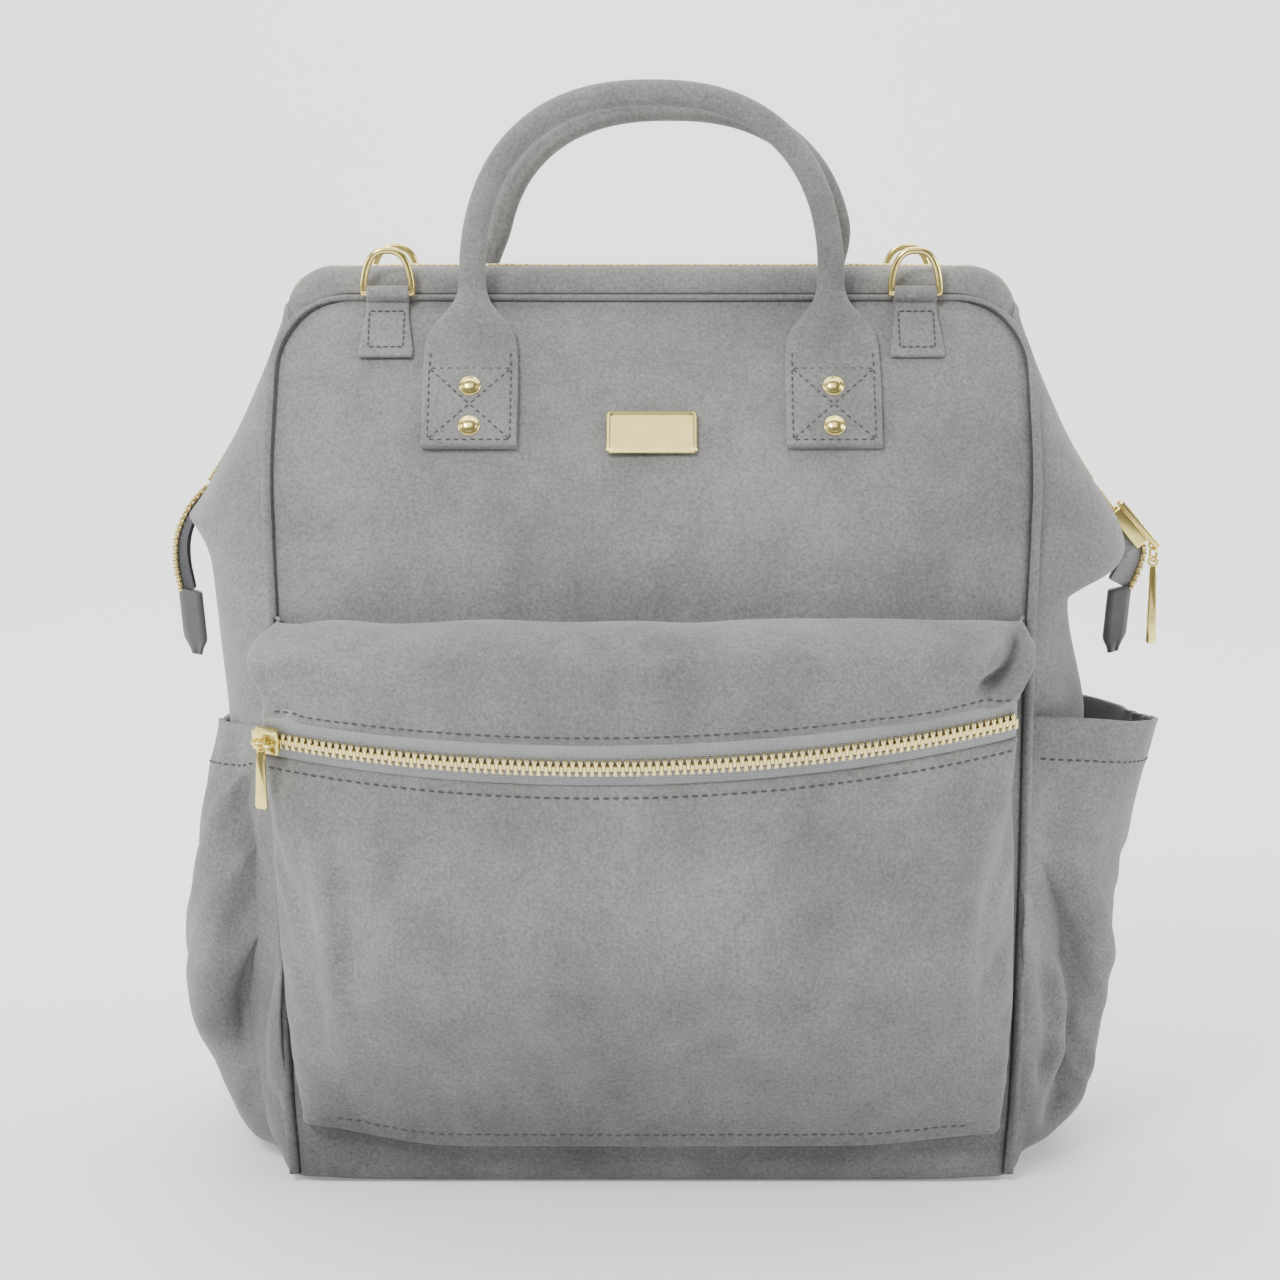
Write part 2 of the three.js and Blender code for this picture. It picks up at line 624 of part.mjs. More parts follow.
// Sewn tab that carries one handle leg, narrowing to the leg's width at its top.
function handleTab() {
  const top = HANDLE_PIVOT.z - HANDLE_R - 0.8;
  const halfWidth = (z) => {
    const t = THREE.MathUtils.clamp((z - TAB_SHOULDER) / (top - TAB_SHOULDER), 0, 1);
    return THREE.MathUtils.lerp(TAB_HALF, HANDLE_R + 0.7, THREE.MathUtils.smoothstep(t, 0, 1));
  };
  return applique(HANDLE_X, TAB_BOTTOM, top, halfWidth, TAB_THICK, 9);
}

// Where a thing on the front panel sits, and how far the panel leans back there.
function seat(x, z, lift) {
  const low = panelPoint(-1, x, z - 4, -lift);
  const high = panelPoint(-1, x, z + 4, -lift);
  const at = panelPoint(-1, x, z, -lift);
  return { at, lean: Math.atan2(high.y - low.y, high.z - low.z) };
}

// Domed rivet head on a handle tab.
function rivet(z) {
  const dome = new THREE.Path().moveTo(0, 0).lineTo(4.7, 0).lineTo(4.7, 0.5);
  dome.quadraticCurveTo(3.6, 2.3, 0, 2.6);
  const { at, lean } = seat(HANDLE_X, z, GAP + TAB_THICK + 0.5);
  return new THREE.LatheGeometry(dome.getPoints(3), 12).rotateX(Math.PI - lean).translate(at.x, at.y, at.z);
}

// Plain plate with rounded corners, in the middle of the front.
function namePlate() {
  const half = { x: 19.3, z: 9.8 };
  const round = 1.6;
  const shape = new THREE.Shape();
  shape.absarc(half.x - round, half.z - round, round, 0, Math.PI / 2);
  shape.absarc(round - half.x, half.z - round, round, Math.PI / 2, Math.PI);
  shape.absarc(round - half.x, round - half.z, round, Math.PI, 1.5 * Math.PI);
  shape.absarc(half.x - round, round - half.z, round, 1.5 * Math.PI, 2 * Math.PI);
  const plate = new THREE.ExtrudeGeometry(shape, { depth: 1.8, curveSegments: 3, bevelEnabled: false });
  const { at, lean } = seat(0, PLATE_Z, 1.1);
  return plate.rotateX(Math.PI / 2 - lean).translate(at.x, at.y, at.z);
}

// D-ring tab: a loop round the ring's straight bar, and a leaf down the panel.
function ringTab() {
  const { y, z } = RING_PIVOT;
  const loopHalf = 8.1;
  const loopShape = new THREE.Shape().absarc(0, 0, 3.7, 0, 2 * Math.PI);
  loopShape.holes.push(new THREE.Path().absarc(0, 0, RING_WIRE_R + 0.4, 0, 2 * Math.PI));
  const options = { depth: 2 * loopHalf, curveSegments: 8, bevelEnabled: false };
  const loop = new THREE.ExtrudeGeometry(loopShape, options);
  loop.rotateY(Math.PI / 2).translate(RING_X - loopHalf, -y, z);
  const top = z - 2.4;
  const foot = { half: 11.2, z: 356 };
  const halfWidth = (height) => (
    THREE.MathUtils.lerp(foot.half, loopHalf, THREE.MathUtils.smoothstep(height, foot.z, top))
  );
  return join(loop, applique(RING_X, foot.z, top, halfWidth, 2, 5));
}

// D-ring standing up from its straight bar.
function dRing(x, side) {
  const points = [];
  for (let i = 0; i <= 14; i += 1) {
    const angle = (Math.PI * i) / 14;
    const flat = Math.abs(Math.cos(angle)) ** 0.7 * Math.sign(Math.cos(angle));
    points.push(new THREE.Vector3(RING_HALF * flat, 0, RING_RISE * Math.sin(angle)));
  }
  for (const share of [-0.6, 0, 0.6]) points.push(new THREE.Vector3(RING_HALF * share, 0, 0));
  const route = new THREE.CatmullRomCurve3(points, true, 'centripetal');
  const round = new THREE.Shape().absarc(0, 0, RING_WIRE_R, 0, 2 * Math.PI);
  const ring = alongRoute(round, route, 26, 3);
  return ring.translate(x, side * RING_PIVOT.y, RING_PIVOT.z);
}

// Rolled carry handle: an arch that leans in over the mouth from its two pivots.
function handle(side, rise, sideways) {
  const points = [];
  for (let i = 0; i <= 24; i += 1) {
    const angle = (Math.PI * i) / 24;
    const x = HANDLE_X * Math.sign(Math.cos(angle)) * Math.abs(Math.cos(angle)) ** (2 / ARCH_POWER);
    const up = rise * Math.sin(angle) ** (2 / ARCH_POWER);
    const inward = HANDLE_LEAN * (up / rise) ** 2;
    const y = side * (HANDLE_PIVOT.y - inward);
    points.push(new THREE.Vector3(x + (sideways * up) / rise, y, HANDLE_PIVOT.z + up));
  }
  const route = new THREE.CatmullRomCurve3(points);
  const round = new THREE.Shape().absarc(0, 0, HANDLE_R, 0, 2 * Math.PI);
  return alongRoute(round, route, 32, 5);
}

// ---------- the two halves of the mouth ----------

for (const [half, side] of [['front', -1], ['back', 1]]) {
  const place = (geometry) => (side < 0 ? geometry : mirrored(geometry, 'y'));
  const left = (geometry) => place(mirrored(geometry, 'x'));
  add(`${half}_upper_panel`, panel(side, SPLIT_Z + GAP, BAND_LOW - GAP, SOFT, 9), SUEDE);
  add(`${half}_upper_gusset_left`, place(upperGusset(-1)), SUEDE);
  add(`${half}_upper_gusset_right`, place(upperGusset(1)), SUEDE);
  add(`${half}_top_band`, place(topBand()), SUEDE);
  add(`${half}_zip_half`, place(frontZip), GOLD);
  add(`${half}_handle_tab_left`, left(handleTab()), SUEDE);
  add(`${half}_handle_tab_right`, place(handleTab()), SUEDE);
  for (const [level, z] of Object.entries(RIVET_Z)) {
    add(`${half}_rivet_left_${level}`, left(rivet(z)), GOLD);
    add(`${half}_rivet_right_${level}`, place(rivet(z)), GOLD);
  }
  add(`${half}_ring_tab_left`, left(ringTab()), SUEDE);
  add(`${half}_ring_tab_right`, place(ringTab()), SUEDE);
  add(`${half}_d_ring_left`, dRing(-RING_X, side), GOLD);
  add(`${half}_d_ring_right`, dRing(RING_X, side), GOLD);
}
add('front_frame_wire', frameWire(PIVOT_X - 2.4, PIVOT_X - 1.1), STEEL);
add('back_frame_wire', mirrored(frameWire(PIVOT_X + 2.4, PIVOT_X + 1.1), 'y'), STEEL);
add('front_handle', handle(-1, HANDLE_RISE.front, 0), SUEDE);
add('back_handle', handle(1, HANDLE_RISE.back, BACK_HANDLE_SHIFT), SUEDE);
add('name_plate', namePlate(), GOLD);

// ---------- sliders and pulls ----------

const PULL_THICK = 1.6;

// Pull with its eye at the origin, hanging down -Z, its eye's axis along Y.
function pull(length, topWidth, endWidth) {
  const eyeShape = new THREE.Shape().absarc(0, 0, 2.6, 0, 2 * Math.PI);
  eyeShape.holes.push(new THREE.Path().absarc(0, 0, 1.4, 0, 2 * Math.PI));
  const options = { depth: PULL_THICK, curveSegments: 8, bevelEnabled: false };
  const eye = new THREE.ExtrudeGeometry(eyeShape, options);
  const top = -2.2;
  const half = { top: topWidth / 2, end: endWidth / 2 };
  const corners = [[-half.top, top], [half.top, top], [half.end, -length], [-half.end, -length]];
  const blade = extrude(corners, PULL_THICK);
  for (const piece of [eye, blade]) piece.translate(0, 0, -PULL_THICK / 2).rotateX(Math.PI / 2);
  return { eye, blade };
}

// Mouth slider: a channel round the teeth, with a long open frame on top whose lower
// cross pin carries the pull. Built along +X, its outward side +Z.
function mouthSlider() {
  const half = 5.3;
  const channel = extrude([
    [-1.9, -2], [-half, -2], [-half, 4.6], [half, 4.6], [half, -2], [1.9, -2],
    [1.9, -0.5], [3.8, -0.5], [3.8, 3.1], [-3.8, 3.1], [-3.8, -0.5], [-1.9, -0.5],
  ], 20);
  channel.rotateX(Math.PI / 2).rotateZ(Math.PI / 2).translate(-11, 0, 0);
  const rail = (y) => box(-12, 15, y - 0.8, y + 0.8, 4.2, 7.4);
  const pin = (x, radius) => new THREE.CylinderGeometry(radius, radius, 7, 12).translate(x, 0, 5.8);
  return join(channel, rail(-3.6), rail(3.6), pin(PULL_PIN.along, 1), pin(-10.5, 1));
}

const PULL_PIN = { along: 12.5, out: 5.8 };
const SLIDER_Z = 276;

const slopeX = shoulderX(SLIDER_Z);
const slopeAngle = Math.atan2(SHOULDER_X - slopeX, SHOULDER_Z - SLIDER_Z);
const MOUTH_SEAT = new THREE.Matrix4().makeTranslation(slopeX, 0, SLIDER_Z)
  .multiply(new THREE.Matrix4().makeRotationY(slopeAngle));
add('mouth_slider', mouthSlider().applyMatrix4(MOUTH_SEAT), GOLD);

const crossPin = new THREE.Vector3(PULL_PIN.along, 0, PULL_PIN.out).applyMatrix4(MOUTH_SEAT);
const mouthPull = pull(46, 2.4, 4.6);
add('mouth_pull', join(mouthPull.eye, mouthPull.blade).translate(...crossPin), GOLD);

// Pocket slider: a cap astride the teeth with a bridge along the zip. Built with the zip
// along +X, its outward side -Y, and the tape's face at y = 0.
const BRIDGE_Y = -8.2;
const SLIDER_X = 154;           // how far the slider waits from the middle of the zip

function pocketSlider() {
  const half = 5;
  const leg = 1.2;
  const bridge = extrude([
    [-half, -4.6], [-half, -8.8], [half, -8.8], [half, -4.6],
    [half - leg, -4.6], [half - leg, -7.6], [leg - half, -7.6], [leg - half, -4.6],
  ], 1.4);
  const flange = (z) => box(-half, half, -3.8, -0.9, z - 0.6, z + 0.6);
  const cap = box(-6, 6, -4.9, -3.5, -5.4, 5.4);
  return join(cap, flange(-4.6), flange(4.6), bridge.translate(0, 0, -0.7));
}

const SLIDER_ANGLE = -Math.asin(SLIDER_X / POCKET_R);
const POCKET_CENTRE_Y = POCKET_R - POCKET_EDGE - POCKET_SAG;

const SLIDER_SEAT = ZIP_TILT.clone()
  .multiply(new THREE.Matrix4().makeTranslation(0, POCKET_CENTRE_Y, 0))
  .multiply(new THREE.Matrix4().makeRotationZ(SLIDER_ANGLE))
  .multiply(new THREE.Matrix4().makeTranslation(0, TAPE_SINK - POCKET_R, ZIP_Z));
add('pocket_slider', pocketSlider().applyMatrix4(SLIDER_SEAT), GOLD);

// The pull hangs straight down from the bridge, whatever the zip's tilt.
const bridgePin = new THREE.Vector3(0, BRIDGE_Y, 0).applyMatrix4(SLIDER_SEAT);
const pocketPull = pull(27, 3.6, 5.6);
pocketPull.eye.rotateZ(Math.PI / 2);
add('pocket_pull', join(pocketPull.eye, pocketPull.blade).rotateZ(SLIDER_ANGLE)
  .translate(...bridgePin), GOLD);

export default part;
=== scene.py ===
import math

import bpy
import numpy as np
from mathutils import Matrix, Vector


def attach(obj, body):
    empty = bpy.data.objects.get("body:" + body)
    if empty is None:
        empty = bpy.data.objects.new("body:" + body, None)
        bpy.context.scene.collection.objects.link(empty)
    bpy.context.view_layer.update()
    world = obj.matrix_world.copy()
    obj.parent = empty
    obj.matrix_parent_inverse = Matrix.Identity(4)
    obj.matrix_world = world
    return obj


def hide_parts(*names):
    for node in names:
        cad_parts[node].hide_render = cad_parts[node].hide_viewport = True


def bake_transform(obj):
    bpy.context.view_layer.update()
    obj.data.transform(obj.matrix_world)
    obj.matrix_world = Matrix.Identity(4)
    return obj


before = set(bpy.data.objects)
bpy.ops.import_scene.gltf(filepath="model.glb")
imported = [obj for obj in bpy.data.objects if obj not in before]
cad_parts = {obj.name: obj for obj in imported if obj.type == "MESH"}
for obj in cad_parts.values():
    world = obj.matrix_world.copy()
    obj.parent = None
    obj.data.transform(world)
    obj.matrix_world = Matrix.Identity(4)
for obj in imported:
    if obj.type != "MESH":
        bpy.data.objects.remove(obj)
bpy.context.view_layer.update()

MM = 0.001

# ---------- driving dimensions, as the frame has them ----------
PIVOT_Z = 292.0            # hinge pins of the mouth frame
SHOULDER_R = 275.0         # arc that the zip follows down each shoulder
SHOULDER_X = 422.5
SHOULDER_Z = 454.8
SHOULDER_TOP = 379.0
CORNER_R = 18.8            # top corners of the mouth
BAND_Z = 381.0             # seam under the hem
SEAM_ROUND = 31.0          # radius of the seam's top corners
SEAM_STRAIGHT_Z = BAND_Z - SEAM_ROUND
HANDLE_X = 78.0
HANDLE_Y = 24.4
HANDLE_Z = 387.0
RING_X = 115.0
RING_Y = 21.8
RING_Z = 383.0
RING_WIRE = 1.6
ZIP_Z = 203.0
POCKET_SAG = 33.0
POCKET_W = 152.0
POCKET_R = (POCKET_W ** 2 + POCKET_SAG ** 2) / (2 * POCKET_SAG)
POCKET_EDGE = 112.0
POCKET_FOOT = 26.0
POCKET_TOP = 251.0
TAPE_HALF = 9.6
TOOTH_PITCH = 3.1
ZIP_DIP = 0.267            # the pocket's zip is tilted: down towards the front,
ZIP_RISE = 0.0227          # and up towards the right
TILT_PIVOT = np.array([0, -127.4, ZIP_Z])
rise_cos = math.cos(ZIP_RISE)
rise_sin = math.sin(ZIP_RISE)
dip_cos = math.cos(ZIP_DIP)
dip_sin = math.sin(ZIP_DIP)
ZIP_TILT = (np.array([[rise_cos, 0, -rise_sin], [0, 1, 0], [rise_sin, 0, rise_cos]])
            @ np.array([[1, 0, 0], [0, dip_cos, -dip_sin], [0, dip_sin, dip_cos]]))
ZIP_SHIFT = np.array([-5.0, 0, 0])
SOFT = 2.4                 # thickness of the pocket's cloth
TAIL_TOP = 295.5           # where the zip's free ends start, above the hinge pins
SIM_SCALE = 10
CLOTH_STIFF = 8.0
SIDE = {"front": -1, "back": 1}     # which way each half faces along Y
NAME = {-1: "left", 1: "right"}
HANDLE_ARCH = {-1: (82, 0), 1: (76, 8)}     # how far each handle rises and how far it leans aside
TAB_LOW = 319              # heights the handle tabs run between
TAB_HIGH = 381
RIVET_Z = {"upper": 343, "lower": 327}
PLATE_Z = 325
PLATE_HALF = np.array([19.3, 9.8])
BASE_HALF = np.array([162.0, 84.0])


# ---------- numbers ----------

def profile(stations):
    """Smooth curve through (place, value) stations, for a number or an array of places."""
    xs = np.array([s[0] for s in stations], float)
    vs = np.array([s[1] for s in stations], float)
    slopes = np.empty(len(xs))
    slopes[1:-1] = (vs[2:] - vs[:-2]) / (xs[2:] - xs[:-2])
    slopes[0] = (vs[1] - vs[0]) / (xs[1] - xs[0])
    slopes[-1] = (vs[-1] - vs[-2]) / (xs[-1] - xs[-2])

    def value(x):
        x = np.clip(np.asarray(x, float), xs[0], xs[-1])
        i = np.clip(np.searchsorted(xs, x) - 1, 0, len(xs) - 2)
        span = xs[i + 1] - xs[i]
        t = (x - xs[i]) / span
        start = vs[i] * (1 + 2 * t) * (1 - t) ** 2 + slopes[i] * span * t * (1 - t) ** 2
        end = vs[i + 1] * t * t * (3 - 2 * t) + slopes[i + 1] * span * t * t * (t - 1)
        return start + end

    return value


def smooth(low, high, x):
    t = np.clip((np.asarray(x, float) - low) / (high - low), 0, 1)
    return t * t * (3 - 2 * t)


def unit(v):
    return v / np.maximum(np.linalg.norm(v, axis=-1, keepdims=True), 1e-9)


def resample(points, count):
    """The line through points as count points spaced evenly along it."""
    points = np.asarray(points, float)
    steps = np.linalg.norm(np.diff(points, axis=0), axis=1)
    along = np.concatenate([[0], np.cumsum(steps)])
    places = np.linspace(0, along[-1], count)
    return np.stack([np.interp(places, along, points[:, k]) for k in range(3)], axis=1)


def spline(points, count):
    """Even points on a smooth curve through a few points."""
    points = np.asarray(points, float)
    steps = np.linalg.norm(np.diff(points, axis=0), axis=1)
    along = np.concatenate([[0], np.cumsum(steps)])
    places = np.linspace(0, along[-1], 12 * count)
    dense = np.stack([profile(list(zip(along, points[:, k])))(places) for k in range(3)], axis=1)
    return resample(dense, count)


def line_length(points):
    return float(np.linalg.norm(np.diff(points, axis=0), axis=1).sum())


def mirror(points, axis):
    flip = np.ones(3)
    flip[axis] = -1
    return points * flip


# ---------- materials ----------

class Look:
    """A node material being built. Its textures use the object's own coordinates."""

    def __init__(self, name):
        self.material = bpy.data.materials.new(name)
        self.material.use_nodes = True
        self.tree = self.material.node_tree
        self.surface = self.tree.nodes["Principled BSDF"]
        self.coords = self.tree.nodes.new("ShaderNodeTexCoord").outputs["Object"]

    def add(self, kind, settings=None, values=None, wires=None):
        """A node with its settings, some inputs given values and some wired to outputs."""
        node = self.tree.nodes.new(kind)
        for key, value in (settings or {}).items():
            setattr(node, key, value)
        for key, value in (values or {}).items():
            node.inputs[key].default_value = value
        for key, output in (wires or {}).items():
            self.tree.links.new(output, node.inputs[key])
        return node

    def noise(self, scale, detail=4.0, rough=0.6):
        values = {"Scale": scale, "Detail": detail, "Roughness": rough}
        return self.add("ShaderNodeTexNoise", None, values, {"Vector": self.coords}).outputs["Fac"]

    def ramp(self, value, stops):
        node = self.add("ShaderNodeValToRGB", wires={"Fac": value})
        elements = node.color_ramp.elements
        while len(elements) < len(stops):
            elements.new(0.5)
        for element, (place, color) in zip(elements, stops):
            element.position = place
            element.color = (*color, 1)
        return node.outputs["Color"]

    def mix(self, kind, factor, a, b):
        settings = {"data_type": "RGBA", "blend_type": kind}
        return self.add("ShaderNodeMix", settings, {"Factor": factor}, {"A": a, "B": b}).outputs["Result"]

    def bump(self, height, strength, distance, below=None):
        wires = {"Height": height}
        if below is not None:
            wires["Normal"] = below
        values = {"Strength": strength, "Distance": distance}
        return self.add("ShaderNodeBump", None, values, wires).outputs["Normal"]

    def done(self, color, normal, values):
        self.tree.links.new(color, self.surface.inputs["Base Color"])
        if normal is not None:
            self.tree.links.new(normal, self.surface.inputs["Normal"])
        for key, value in values.items():
            self.surface.inputs[key].default_value = value
        return self.material


def grey(value):
    return (value, value, value)


def suede(name, light, dark, nap=1.0):
    """Napped faux suede: cloudy shading where the nap lies both ways, a fine grain, and
    painted shade that darkens it towards the foot."""
    look = Look(name)
    patches = look.noise(42, 6, 0.72)
    grain = look.noise(700, 5, 0.75)
    middle = tuple((a + b) / 2 for a, b in zip(light, dark))
    base = look.ramp(look.noise(11), [(0.34, dark), (0.66, light)])
    broken = look.ramp(patches, [(0.3, dark), (0.5, middle), (0.7, light)])
    speckle = look.ramp(grain, [(0.32, grey(0.55)), (0.68, grey(1.38))])
    worn = look.mix("MULTIPLY", 0.75, look.mix("MIX", 0.4, base, broken), speckle)
    # painted shade: the colour is darkened to 0.58 at the foot, rising to full at 0.14 m up
    height = look.add("ShaderNodeSeparateXYZ", wires={"Vector": look.coords}).outputs["Z"]
    foot = look.add("ShaderNodeMapRange", values={"From Max": 0.14}, wires={"Value": height})
    painted_foot_shade = look.ramp(foot.outputs["Result"], [(0.0, grey(0.58)), (1.0, grey(1))])
    relief = look.bump(grain, 0.5 * nap, 0.0004, look.bump(patches, 0.3, 0.0015))
    return look.done(look.mix("MULTIPLY", 1.0, worn, painted_foot_shade), relief, {
        "Roughness": 0.9, "Specular IOR Level": 0.2, "Sheen Weight": 0.25 * nap, "Sheen Roughness": 0.4})


def woven(name, light, dark, pitch):
    """Plain woven tape or lining, from two crossed waves of thread."""
    look = Look(name)
    values = {"Scale": 0.314 / pitch, "Distortion": 0.6, "Detail": 1}
    threads = [look.add("ShaderNodeTexWave", {"bands_direction": axis}, values, {"Vector": look.coords})
               for axis in ("X", "Z")]
    crossed = {i: thread.outputs["Fac"] for i, thread in enumerate(threads)}
    cross = look.add("ShaderNodeMath", {"operation": "MULTIPLY"}, None, crossed).outputs["Value"]
    weave = look.ramp(cross, [(0.0, dark), (0.8, light)])
    shade = look.ramp(look.noise(60), [(0.3, grey(0.9)), (0.7, grey(1.06))])
    return look.done(look.mix("MULTIPLY", 0.8, weave, shade), look.bump(cross, 0.5, 0.0003), {
        "Roughness": 0.85, "Specular IOR Level": 0.25})


def metal(name, color, rough, wear=0.05):
    """Plated metal: small changes of tone and polish, and a faint orange peel."""
    look = Look(name)
    dull = tuple(c * 0.88 for c in color)
    tone = look.ramp(look.noise(140), [(0.3, dull), (0.7, color)])
    polish = look.noise(420, 3)
    spread = look.add("ShaderNodeMapRange", None, {"To Min": rough - wear, "To Max": rough + wear},
                      {"Value": polish})
    look.tree.links.new(spread.outputs["Result"], look.surface.inputs["Roughness"])
    return look.done(tone, look.bump(polish, 0.04, 0.0002), {"Metallic": 1})


def flecked(name, color, bright, tone, stops, rough, grain, relief):
    """One colour that brightens in flecks. tone and grain are noises: a scale and a detail."""
    look = Look(name)
    low, high = stops
    lighter = tuple(c * bright for c in color)
    shade = look.ramp(look.noise(*tone), [(low, color), (high, lighter)])
    return look.done(shade, look.bump(look.noise(*grain), *relief), {"Roughness": rough})


SUEDE = suede("suede", (0.285, 0.284, 0.276), (0.155, 0.155, 0.151))
PIPING = suede("piping_suede", (0.25, 0.245, 0.24), (0.17, 0.168, 0.165), 0.7)
LINING = woven("lining", (0.2, 0.2, 0.21), (0.12, 0.12, 0.13), 0.0008)
TAPE = woven("zip_tape", (0.43, 0.44, 0.45), (0.26, 0.27, 0.28), 0.0009)
# painted shade: a darker copy of the zip tape, used for the left tail only
SHADED_TAPE = woven("zip_tape_painted_shade", (0.16, 0.16, 0.17), (0.08, 0.08, 0.09), 0.0009)
GOLD = metal("gold", (0.98, 0.82, 0.3), 0.24)
TEETH = metal("gold_teeth", (0.95, 0.8, 0.38), 0.27)
STEEL = metal("spring_wire", (0.5, 0.5, 0.51), 0.4)
TRIM = flecked("end_tab_leather", (0.125, 0.125, 0.13), 1.25, (90, 5), (0.3, 0.7), 0.5, (900, 3),
               (0.25, 0.0003))
THREAD = flecked("thread", (0.05, 0.05, 0.052), 1.5, (2500, 2), (0.35, 0.65), 0.7, (2500, 2), (0.4, 0.0002))
# painted shade: near-black suede for thin tubes that stand in for the shadow in the seams beside the piping
PAINTED_SEAM_SHADE = suede("seam_shade", (0.075, 0.075, 0.075), (0.05, 0.05, 0.05), 0.2)
BOARD = flecked("base_board", (0.035, 0.035, 0.04), 1.6, (300, 4), (0.4, 0.7), 0.7, (300, 4), (0.2, 0.0002))


# ---------- meshes ----------

def make_mesh(name, points, faces, materials, face_material=None, scale=MM):
    mesh = bpy.data.meshes.new(name)
    vertices = [tuple(p) for p in np.asarray(points) * scale]
    mesh.from_pydata(vertices, [], [tuple(map(int, f)) for f in faces])
    for material in materials:
        mesh.materials.append(material)
    if face_material is not None:
        mesh.polygons.foreach_set("material_index", np.asarray(face_material, np.int32))
    mesh.polygons.foreach_set("use_smooth", np.ones(len(mesh.polygons), bool))
    mesh.update()
    obj = bpy.data.objects.new(name, mesh)
    bpy.context.collection.objects.link(obj)
    return obj


def fitted(piece, body=None, nodes=()):
    """Hides the nodes a piece replaces and attaches it to the body it rides, if one is given."""
    if nodes:
        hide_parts(*nodes)
    if body:
        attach(piece, body)


def grid_normals(grid):
    across = np.gradient(grid, axis=1)
    along = np.gradient(grid, axis=0)
    return unit(np.cross(across, along))


def eased(grid, times):
    """Averages each point of a grid with its neighbours, its outer edge left as it is."""
    grid = grid.copy()
    for _ in range(times):
        around = grid[:-2, 1:-1] + grid[2:, 1:-1] + grid[1:-1, :-2] + grid[1:-1, 2:]
        grid[1:-1, 1:-1] = (grid[1:-1, 1:-1] + around / 4) / 2
    return grid


def grid_faces(rows, columns, start=0, wrap=False):
    r = np.arange(rows - 1)[:, None]
    c = np.arange(columns if wrap else columns - 1)[None, :]
    near = start + r * columns
    far = near + columns
    ahead = (c + 1) % columns
    return np.stack([near + c, near + ahead, far + ahead, far + c], axis=-1).reshape(-1, 4)


def capped_faces(rings, size):
    """Faces of a stack of closed rings, with a flat face over each end."""
    faces = [list(f) for f in grid_faces(rings, size, wrap=True)]
    faces.append(list(range(size))[::-1])
    faces.append([(rings - 1) * size + i for i in range(size)])
    return faces


def stacked(name, rings, material, turned=False):
    """One mesh from a stack of closed rings. turned flips its faces."""
    faces = capped_faces(len(rings), len(rings[0]))
    if turned:
        faces = [f[::-1] for f in faces]
    return make_mesh(name, np.concatenate(rings), faces, [material])


def round_power(angle, power):
    """Cosine and sine of a superellipse's angle, raised to a power with their signs kept."""
    c = np.sign(np.cos(angle)) * np.abs(np.cos(angle)) ** power
    s = np.sign(np.sin(angle)) * np.abs(np.sin(angle)) ** power
    return c, s


def shell(name, grid, thick, materials, outward):
    """Cloth of real thickness behind a grid of points on its outer face, with rounded edges.
    outward is 1 where the grid's own normals point out of the bag, and -1 where they point in."""
    rows, columns = grid.shape[:2]
    normal = grid_normals(grid) * outward
    inner = grid - unit(eased(normal, 6)) * thick
    count = rows * columns
    rim = np.concatenate([
        np.arange(columns - 1),
        np.arange(rows - 1) * columns + columns - 1,
        count - 1 - np.arange(columns - 1),
        (rows - 1 - np.arange(rows - 1)) * columns,
    ])
    flat = grid.reshape(-1, 3)
    flat_in = inner.reshape(-1, 3)
    centre = (flat[rim] + flat_in[rim]) / 2
    ahead = np.roll(centre, -1, axis=0) - np.roll(centre, 1, axis=0)
    bulge = unit(np.cross(ahead, normal.reshape(-1, 3)[rim])) * outward
    rounds = [centre + bulge * thick * 0.5 * math.sin(t) + (flat[rim] - centre) * math.cos(t)
              for t in np.linspace(0, math.pi, 5)[1:-1]]
    loops = [rim] + [2 * count + k * len(rim) + np.arange(len(rim)) for k in range(3)] + [rim + count]
    edges = [np.stack([np.roll(near, -1), near, far, np.roll(far, -1)], axis=1)
             for near, far in zip(loops[:-1], loops[1:])]
    outer_faces = grid_faces(rows, columns)
    inner_faces = grid_faces(rows, columns, count)[:, ::-1]
    faces = np.concatenate([outer_faces, inner_faces, *edges])
    if outward < 0:
        faces = faces[:, ::-1]
    index = np.zeros(len(faces), int)
    if len(materials) > 1:
        index[len(outer_faces):len(outer_faces) + len(inner_faces)] = 1
    return make_mesh(name, np.concatenate([flat, flat_in, *rounds]), faces, materials, index)


def tube_parts(path, radius, segments=16, up=(0, -1, 0.2), closed=False, flat=None):
    """Points and faces of a round rod along a path. radius may vary; flat is a second radius."""
    path = np.asarray(path, float)
    count = len(path)
    radius = np.broadcast_to(np.asarray(radius, float), count)
    second = radius if flat is None else np.broadcast_to(np.asarray(flat, float), count)
    if closed:
        tangent = unit(np.roll(path, -1, axis=0) - np.roll(path, 1, axis=0))
    else:
        tangent = unit(np.gradient(path, axis=0))
    side = unit(np.cross(tangent, np.broadcast_to(np.asarray(up, float), path.shape)))
    upward = np.cross(side, tangent)
    angle = np.linspace(0, 2 * math.pi, segments, endpoint=False)
    ring = (side[:, None] * np.cos(angle)[None, :, None] * radius[:, None, None]
            + upward[:, None] * np.sin(angle)[None, :, None] * second[:, None, None])
    points = (path[:, None] + ring).reshape(-1, 3)
    if closed:
        first = np.arange(segments)
        last = (count - 1) * segments + first
        seam = np.stack([last, np.roll(last, -1), np.roll(first, -1), first], axis=1)
        faces = [list(f) for f in np.concatenate([grid_faces(count, segments, wrap=True), seam])]
    else:
        faces = capped_faces(count, segments)
    return points, [f[::-1] for f in faces]


def joined(name, parts, material):
    """One mesh from several lots of points and faces."""
    points = []
    faces = []
    start = 0
    for part_points, part_faces in parts:
        points.append(np.asarray(part_points))
        faces += [[start + i for i in face] for face in part_faces]
        start += len(part_points)
    return make_mesh(name, np.concatenate(points), faces, [material])


